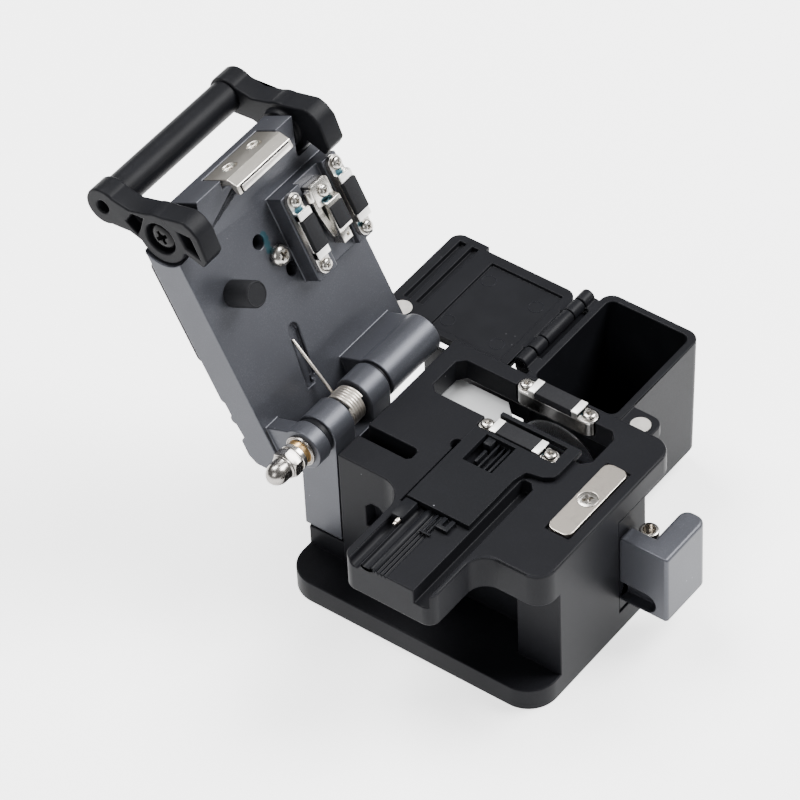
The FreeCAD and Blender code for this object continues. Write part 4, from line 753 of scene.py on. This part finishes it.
# ---------------------------------------------------------------- anvil between the upper clamps
def anvil_group():
    """The sprung anvil: carrier and rubber pad, leaf plate, thin leaves, foot, stem and screw."""
    carrier = block("anvil_carrier", (14.8, -37.2, 0.75), (19.0, -30.1, 3.2))
    pick(carrier, lambda middle, normal: normal.z > 0.9)
    bpy.ops.transform.resize(value=(0.92, 1.35, 1),
                             center_override=(16.9 * MM, -33.6 * MM, 3.2 * MM))
    leave()
    modify(carrier, "BEVEL", width=0.12 * MM, segments=2, limit_method="ANGLE")
    leaf = block("anvil_leaf", (13.4, -42.1, 1.9), (18.9, -36.9, 2.35))
    only(leaf)
    bpy.ops.object.mode_set(mode="EDIT")
    bpy.ops.mesh.select_mode(type="EDGE")
    bpy.ops.mesh.select_all(action="DESELECT")
    work = bmesh.from_edit_mesh(leaf.data)
    for edge in work.edges:
        run = edge.verts[0].co - edge.verts[1].co
        if abs(run.z) > 0.3 * MM:
            edge.select_set(True)
    bmesh.update_edit_mesh(leaf.data)
    bpy.ops.mesh.bevel(offset=0.9 * MM, segments=5, affect="EDGES")
    leave()
    modify(leaf, "BEVEL", width=0.08 * MM, segments=2, limit_method="ANGLE",
           angle_limit=math.radians(50))
    under = block("anvil_body", (13.9, -42.0, 2.6), (18.6, -37.0, 4.9), 0.2)
    leaves = []
    for number in range(4):
        x = 12.95 + 0.36 * number
        leaves.append(strip("anvil_spring", (x, -41.9 + number * 0.2, 2.7), (x, -35.6, 2.5),
                            0.24, 0.9))
        leaves.append(strip("anvil_spring", (x, -35.7, 2.5), (x + 1.6, -29.4, 3.3), 0.24, 0.9))
    foot = block("anvil_foot", (15.7, -29.4, 2.0), (18.5, -26.9, 4.9), 0.15)
    hole = seat(turned("hole", [(0.45, -1), (0.45, 1)], segments=24), at((17.5, -28.2, 2.0)))
    cut_with(foot, hole)
    stem = seat(turned("stem", [(0.5, 0), (0.74, 0.1), (0.80, 0.3), (0.80, 2.3), (0.74, 2.5),
                                (0.5, 2.6)], segments=28), at((12.35, -41.9, 1.9), (0, 1, 0)))
    lever_screw = screw("lever_screw", 2.8, 0.85, 1.4, 2.4)
    seat(lever_screw, at((16.3, -39.6, 1.9), (0, 0, -1), 30))
    parts = lidded(carrier, leaf, under, foot, stem, *leaves)
    fit(joined("anvil_lever", *parts), "lid", "lever", "anvil")
    fit(*lidded(lever_screw), "lid", "screw", "anvil")
    pad = block("anvil_pad_block", (14.95, -36.2, 0.3), (18.85, -30.9, 1.1), 0.18)
    fit(*lidded(pad), "lid", "rubber", "anvil_pad")


anvil_group()


def upper_pads():
    """Rubber blocks of the upper clamps, with a white-metal block at each end."""
    for side, x in CLAMPS:
        rubber_block = block(side + "_upper_rubber", (x - 1.85, -38.05, 0.3),
                             (x + 1.95, -30.55, 1.7), 0.22)
        fit(*lidded(rubber_block), "lid", "rubber", side + "_upper_pad")
        ends = [block("end_block", (x - 1.8, low, 0.72), (x + 1.9, high, 2.4), 0.1)
                for low, high in ((-39.7, -38.2), (-30.4, -28.7))]
        fit(joined(side + "_upper_end_blocks", *lidded(*ends)), "lid", "white_metal")


upper_pads()


def lower_pads():
    """Rubber blocks of the lower clamps, with a thin white-metal cap at each end."""
    for side, x in CLAMPS:
        pad = block(side + "_lower_rubber", (x - 1.95, -9.95, 37.5), (x + 1.95, -0.85, 39.45),
                    0.15)
        under = block("under", (x - 1.94, -11.60, 37.0), (x + 1.94, 0.80, 39.18), 0.1)
        fit(joined(side + "_lower_rubber", pad, under), "base", "rubber", side + "_lower_pad")
        ends = [block("end_block", (x - 1.96, low, 39.0), (x + 1.96, high, 39.38), 0.06)
                for low, high in ((-11.62, -10.0), (-0.80, 0.82))]
        fit(joined(side + "_lower_end_blocks", *ends), "base", "white_metal")


lower_pads()


# ---------------------------------------------------------------- yoke and its magnet
def magnet_plate():
    """The lid's magnet, and a black sheet round it that paints the shade in the gap."""
    plate = block("yoke_magnet_plate", (-3.55, -54.35, -0.66), (11.95, -53.0, 0.3), 0.12)
    # Painted shade: a black rubber sheet just larger than the magnet stands for the shadowed gap
    # round it.
    gap_shade = block("yoke_magnet_gap_painted_shade", (-3.75, -54.55, -0.30), (12.15, -52.85, 0.2), 0.05)
    fit(*lidded(plate), "lid", "magnet", "yoke_magnet")
    fit(*lidded(gap_shade), "lid", "rubber")


magnet_plate()


# ---------------------------------------------------------------- lid: slot floor and stop
def slot_floor():
    """The lit floor of the spring's slot."""
    floor_bar = strip("spring_slot_floor", (-4.25, -4.2, 9.25), (-2.3, -19.2, 9.25), 2.6, 1.2)
    fit(*lidded(floor_bar), "lid", "lid")


slot_floor()


def stop():
    """Rubber stop with a small lip round its flat end."""
    button = turned("stop_button", [(1.45, -4.0), (1.45, 0.0), (2.86, 0.0), (2.9, 0.2), (2.9, 6.6),
                                    (2.78, 6.9), (2.55, 7.05), (2.45, 7.0), (2.35, 6.92),
                                    (0.3, 6.92)], segments=48)
    seat(button, at((-11.6, -33.2, LID_FACE), (0, 0, -1), 0, True))
    fit(button, "lid", "stop", "bumper_pin")


stop()


# ---------------------------------------------------------------- fibre bed
def bed_pieces():
    """What lies in the grooved bed: rod, ribs under the window, block, pin and clip."""
    rod = turned("bed_rod", [(0.5, 0), (0.86, 0.12), (0.98, 0.4), (0.98, 19.6), (0.86, 19.9),
                             (0.5, 20.0)], segments=36)
    fit(seat(rod, at((-37.2, -2.05, 37.15), (1, 0, 0))), "base", "guide")
    ribs = [strip("window_rib", (-3.1, y, top - 0.6), (6.7, y, top - 0.6), wide, 1.2)
            for y, top, wide in ((-2.9, 38.1, 0.42), (-4.2, 37.8, 0.32), (-5.6, 38.2, 0.5),
                                 (-6.4, 38.2, 0.25))]
    cheek = block("window_cheek", (3.4, -2.1, 36.5), (6.6, -0.1, 38.9), 0.25)
    small = block("window_stop", (-1.2, -1.9, 36.5), (2.6, -1.2, 38.2), 0.15)
    fit(joined("bed_window_ribs", *ribs, cheek, small), "base", "guide")
    stop_block = block("guide_block_chamfered", (-23.6, 0.4, 37.4), (-18.2, 3.4, 39.5), 0.3)
    fit(stop_block, "base", "guide", "guide_block")
    pin = turned("guide_pin_turned", [(0.25, 0.0), (0.34, 0.05), (0.38, 0.2), (0.38, 0.7),
                                      (0.56, 0.72), (0.60, 0.85), (0.60, 1.8)], segments=32)
    fit(seat(pin, at((-25.4, 1.3, 38.6), (1, 0, 0))), "base", "steel", "guide_pin")
    clip = block("clip_frame", (-21.2, -8.9, 37.9), (-18.0, -6.0, 39.0), 0.12)
    slot = block("slot", (-20.3, -8.0, 37.0), (-17.0, -6.9, 40))
    cut_with(clip, slot)
    bars = [strip("clip_bar", (-23.6, y, 38.25), (-17.9, y, 38.25), 0.4, 0.3)
            for y in (-4.4, -5.4)]
    cross = strip("clip_bar", (-23.5, -3.9, 38.4), (-23.5, -6.4, 38.4), 0.5, 0.4)
    fit(joined("guide_clip_frame", clip, cross, *bars), "base", "guide", "guide_clip")


bed_pieces()


# ---------------------------------------------------------------- under the deck's right edge
def deck_skirt():
    """Lip that hangs from the deck behind the bin."""
    lip = block("deck_skirt", (24.75, 4.0, 24.5), (25.65, 31.0, 33.4), 0.3)
    fit(lip, "base", "body")


deck_skirt()


# ---------------------------------------------------------------- bin flap and its hinge
FLAP_FACE = 35.27           # height of the open flap's inner face
FLAP_CIRCLES = ((45.9, 29.0), (31.4, 29.2), (31.4, 16.45), (45.05, 16.15))


def flap_pieces():
    """The flap's hinge barrel and ring marks, and the strip behind them on the bin."""
    barrel = turned("flap_barrel", [(1.3, 0.0), (1.55, 0.1), (1.6, 0.3), (1.6, 8.9), (1.55, 9.1),
                                    (1.3, 9.2)], segments=36)
    seat(barrel, at((37.0, 8.6, 36.0), (1, 0, 0)))
    web = block("flap_web", (37.1, 8.6, 34.3), (46.1, 11.2, 35.9), 0.2)
    fit(joined("flap_hinge_barrel", barrel, web), "flap", "bin")
    strip_back = block("bin_hinge_strip", (33.1, 5.6, 31.6), (50.2, 8.4, 34.3), 0.25)
    fit(strip_back, "base", "bin")
    circles = []
    for x, y in FLAP_CIRCLES:
        ring = turned("mould_ring", [(1.50, 0.0), (1.56, 0.05), (1.66, 0.05), (1.72, 0.0),
                                     (1.61, -0.05)], hollow=True, segments=36)
        circles.append(seat(ring, at((x, y, FLAP_FACE))))
    fit(joined("flap_mould_rings", *circles), "flap", "bin")


flap_pieces()


# ---------------------------------------------------------------- roller and blade
def roller():
    """Bright roller, hollow for its pin, with eased ends."""
    body = turned("roller_turned", [(1.42, 0.0), (1.95, 0.0), (2.12, 0.15), (2.12, 13.3),
                                    (2.02, 13.55), (1.85, 13.65), (1.42, 13.65)], hollow=True,
                  segments=48)
    fit(seat(body, at((12.2, -35.3, 12.8))), "roller", "screw", "slider_roller")


roller()


def round_blade():
    """Disc with a long ground bevel on each side of its edge."""
    disc = turned("blade_disc", [(1.5, -0.6), (7.4, -0.6), (9.6, -0.16), (9.98, 0.0), (9.6, 0.16),
                                 (7.4, 0.6), (1.5, 0.6)], hollow=True, segments=96)
    fit(seat(disc, at((16.0, -10.2, 29.2), (1, 0, 0))), "blade", "blade", "cutting_blade", angle=8)


round_blade()


# ---------------------------------------------------------------- camera, light and floor
AZIMUTH, ELEVATION, ROLL = -51.5, 45.0, -2.95       # degrees
CAMERA_PLACE = (-0.5887, -0.4501, 0.7959)           # metres
PICTURE = 800               # the photo's width in pixels
FOCAL = 5190                # the camera's focal length in the same pixels
SENSOR = 36
FLOOR_GLOW = 2.0
WORLD_LIGHT = 0.26


def camera_from_photo():
    """Camera at the photograph's angle, worked out for an 800 by 800 picture."""
    azimuth, elevation, roll = [math.radians(v) for v in (AZIMUTH, ELEVATION, ROLL)]
    back = Vector((math.sin(azimuth) * math.cos(elevation),
                   -math.cos(azimuth) * math.cos(elevation), math.sin(elevation)))
    side = Vector((math.cos(azimuth), math.sin(azimuth), 0))
    up = back.cross(side)
    right = math.cos(roll) * side + math.sin(roll) * up
    above = math.cos(roll) * up - math.sin(roll) * side
    data = bpy.data.cameras.new("photo_camera")
    data.sensor_width = SENSOR
    data.lens = FOCAL / PICTURE * SENSOR
    data.clip_end = 10
    data.clip_start = 0.05
    camera = bpy.data.objects.new("photo_camera", data)
    bpy.context.scene.collection.objects.link(camera)
    place = Matrix((right, above, back)).transposed().to_4x4()
    place.translation = Vector(CAMERA_PLACE)
    camera.matrix_world = place
    bpy.context.scene.camera = camera


def light(name, place, size, power, aim=(0, 0, 0.03)):
    """A square light that looks at the object."""
    data = bpy.data.lights.new(name, "AREA")
    data.size = size
    data.energy = power
    item = bpy.data.objects.new(name, data)
    item.location = place
    item.rotation_euler = (Vector(aim) - Vector(place)).to_track_quat("-Z", "Y").to_euler()
    bpy.context.scene.collection.objects.link(item)


def floor():
    """White floor that glows a little, so that it comes out nearly white."""
    bpy.ops.mesh.primitive_plane_add(size=6, location=(0, 0, 0))
    item = bpy.context.object
    item.name = "floor"
    material = bpy.data.materials.new("floor_paper")
    material.use_nodes = True
    shader = material.node_tree.nodes["Principled BSDF"]
    shader.inputs["Base Color"].default_value = (0.8, 0.8, 0.8, 1)
    shader.inputs["Roughness"].default_value = 0.9
    shader.inputs["Emission Color"].default_value = (1, 1, 1, 1)
    shader.inputs["Emission Strength"].default_value = FLOOR_GLOW
    item.data.materials.append(material)


camera_from_photo()
floor()
light("key", (0.62, -0.45, 0.9), 0.6, 34)
light("left", (-0.9, -0.1, 0.7), 0.5, 5)
light("back", (0.1, 0.55, 1.1), 0.6, 27)
world = bpy.data.worlds.new("studio")
bpy.context.scene.world = world
world.use_nodes = True
background = world.node_tree.nodes["Background"]
background.inputs["Color"].default_value = (1, 1, 1, 1)
background.inputs["Strength"].default_value = WORLD_LIGHT
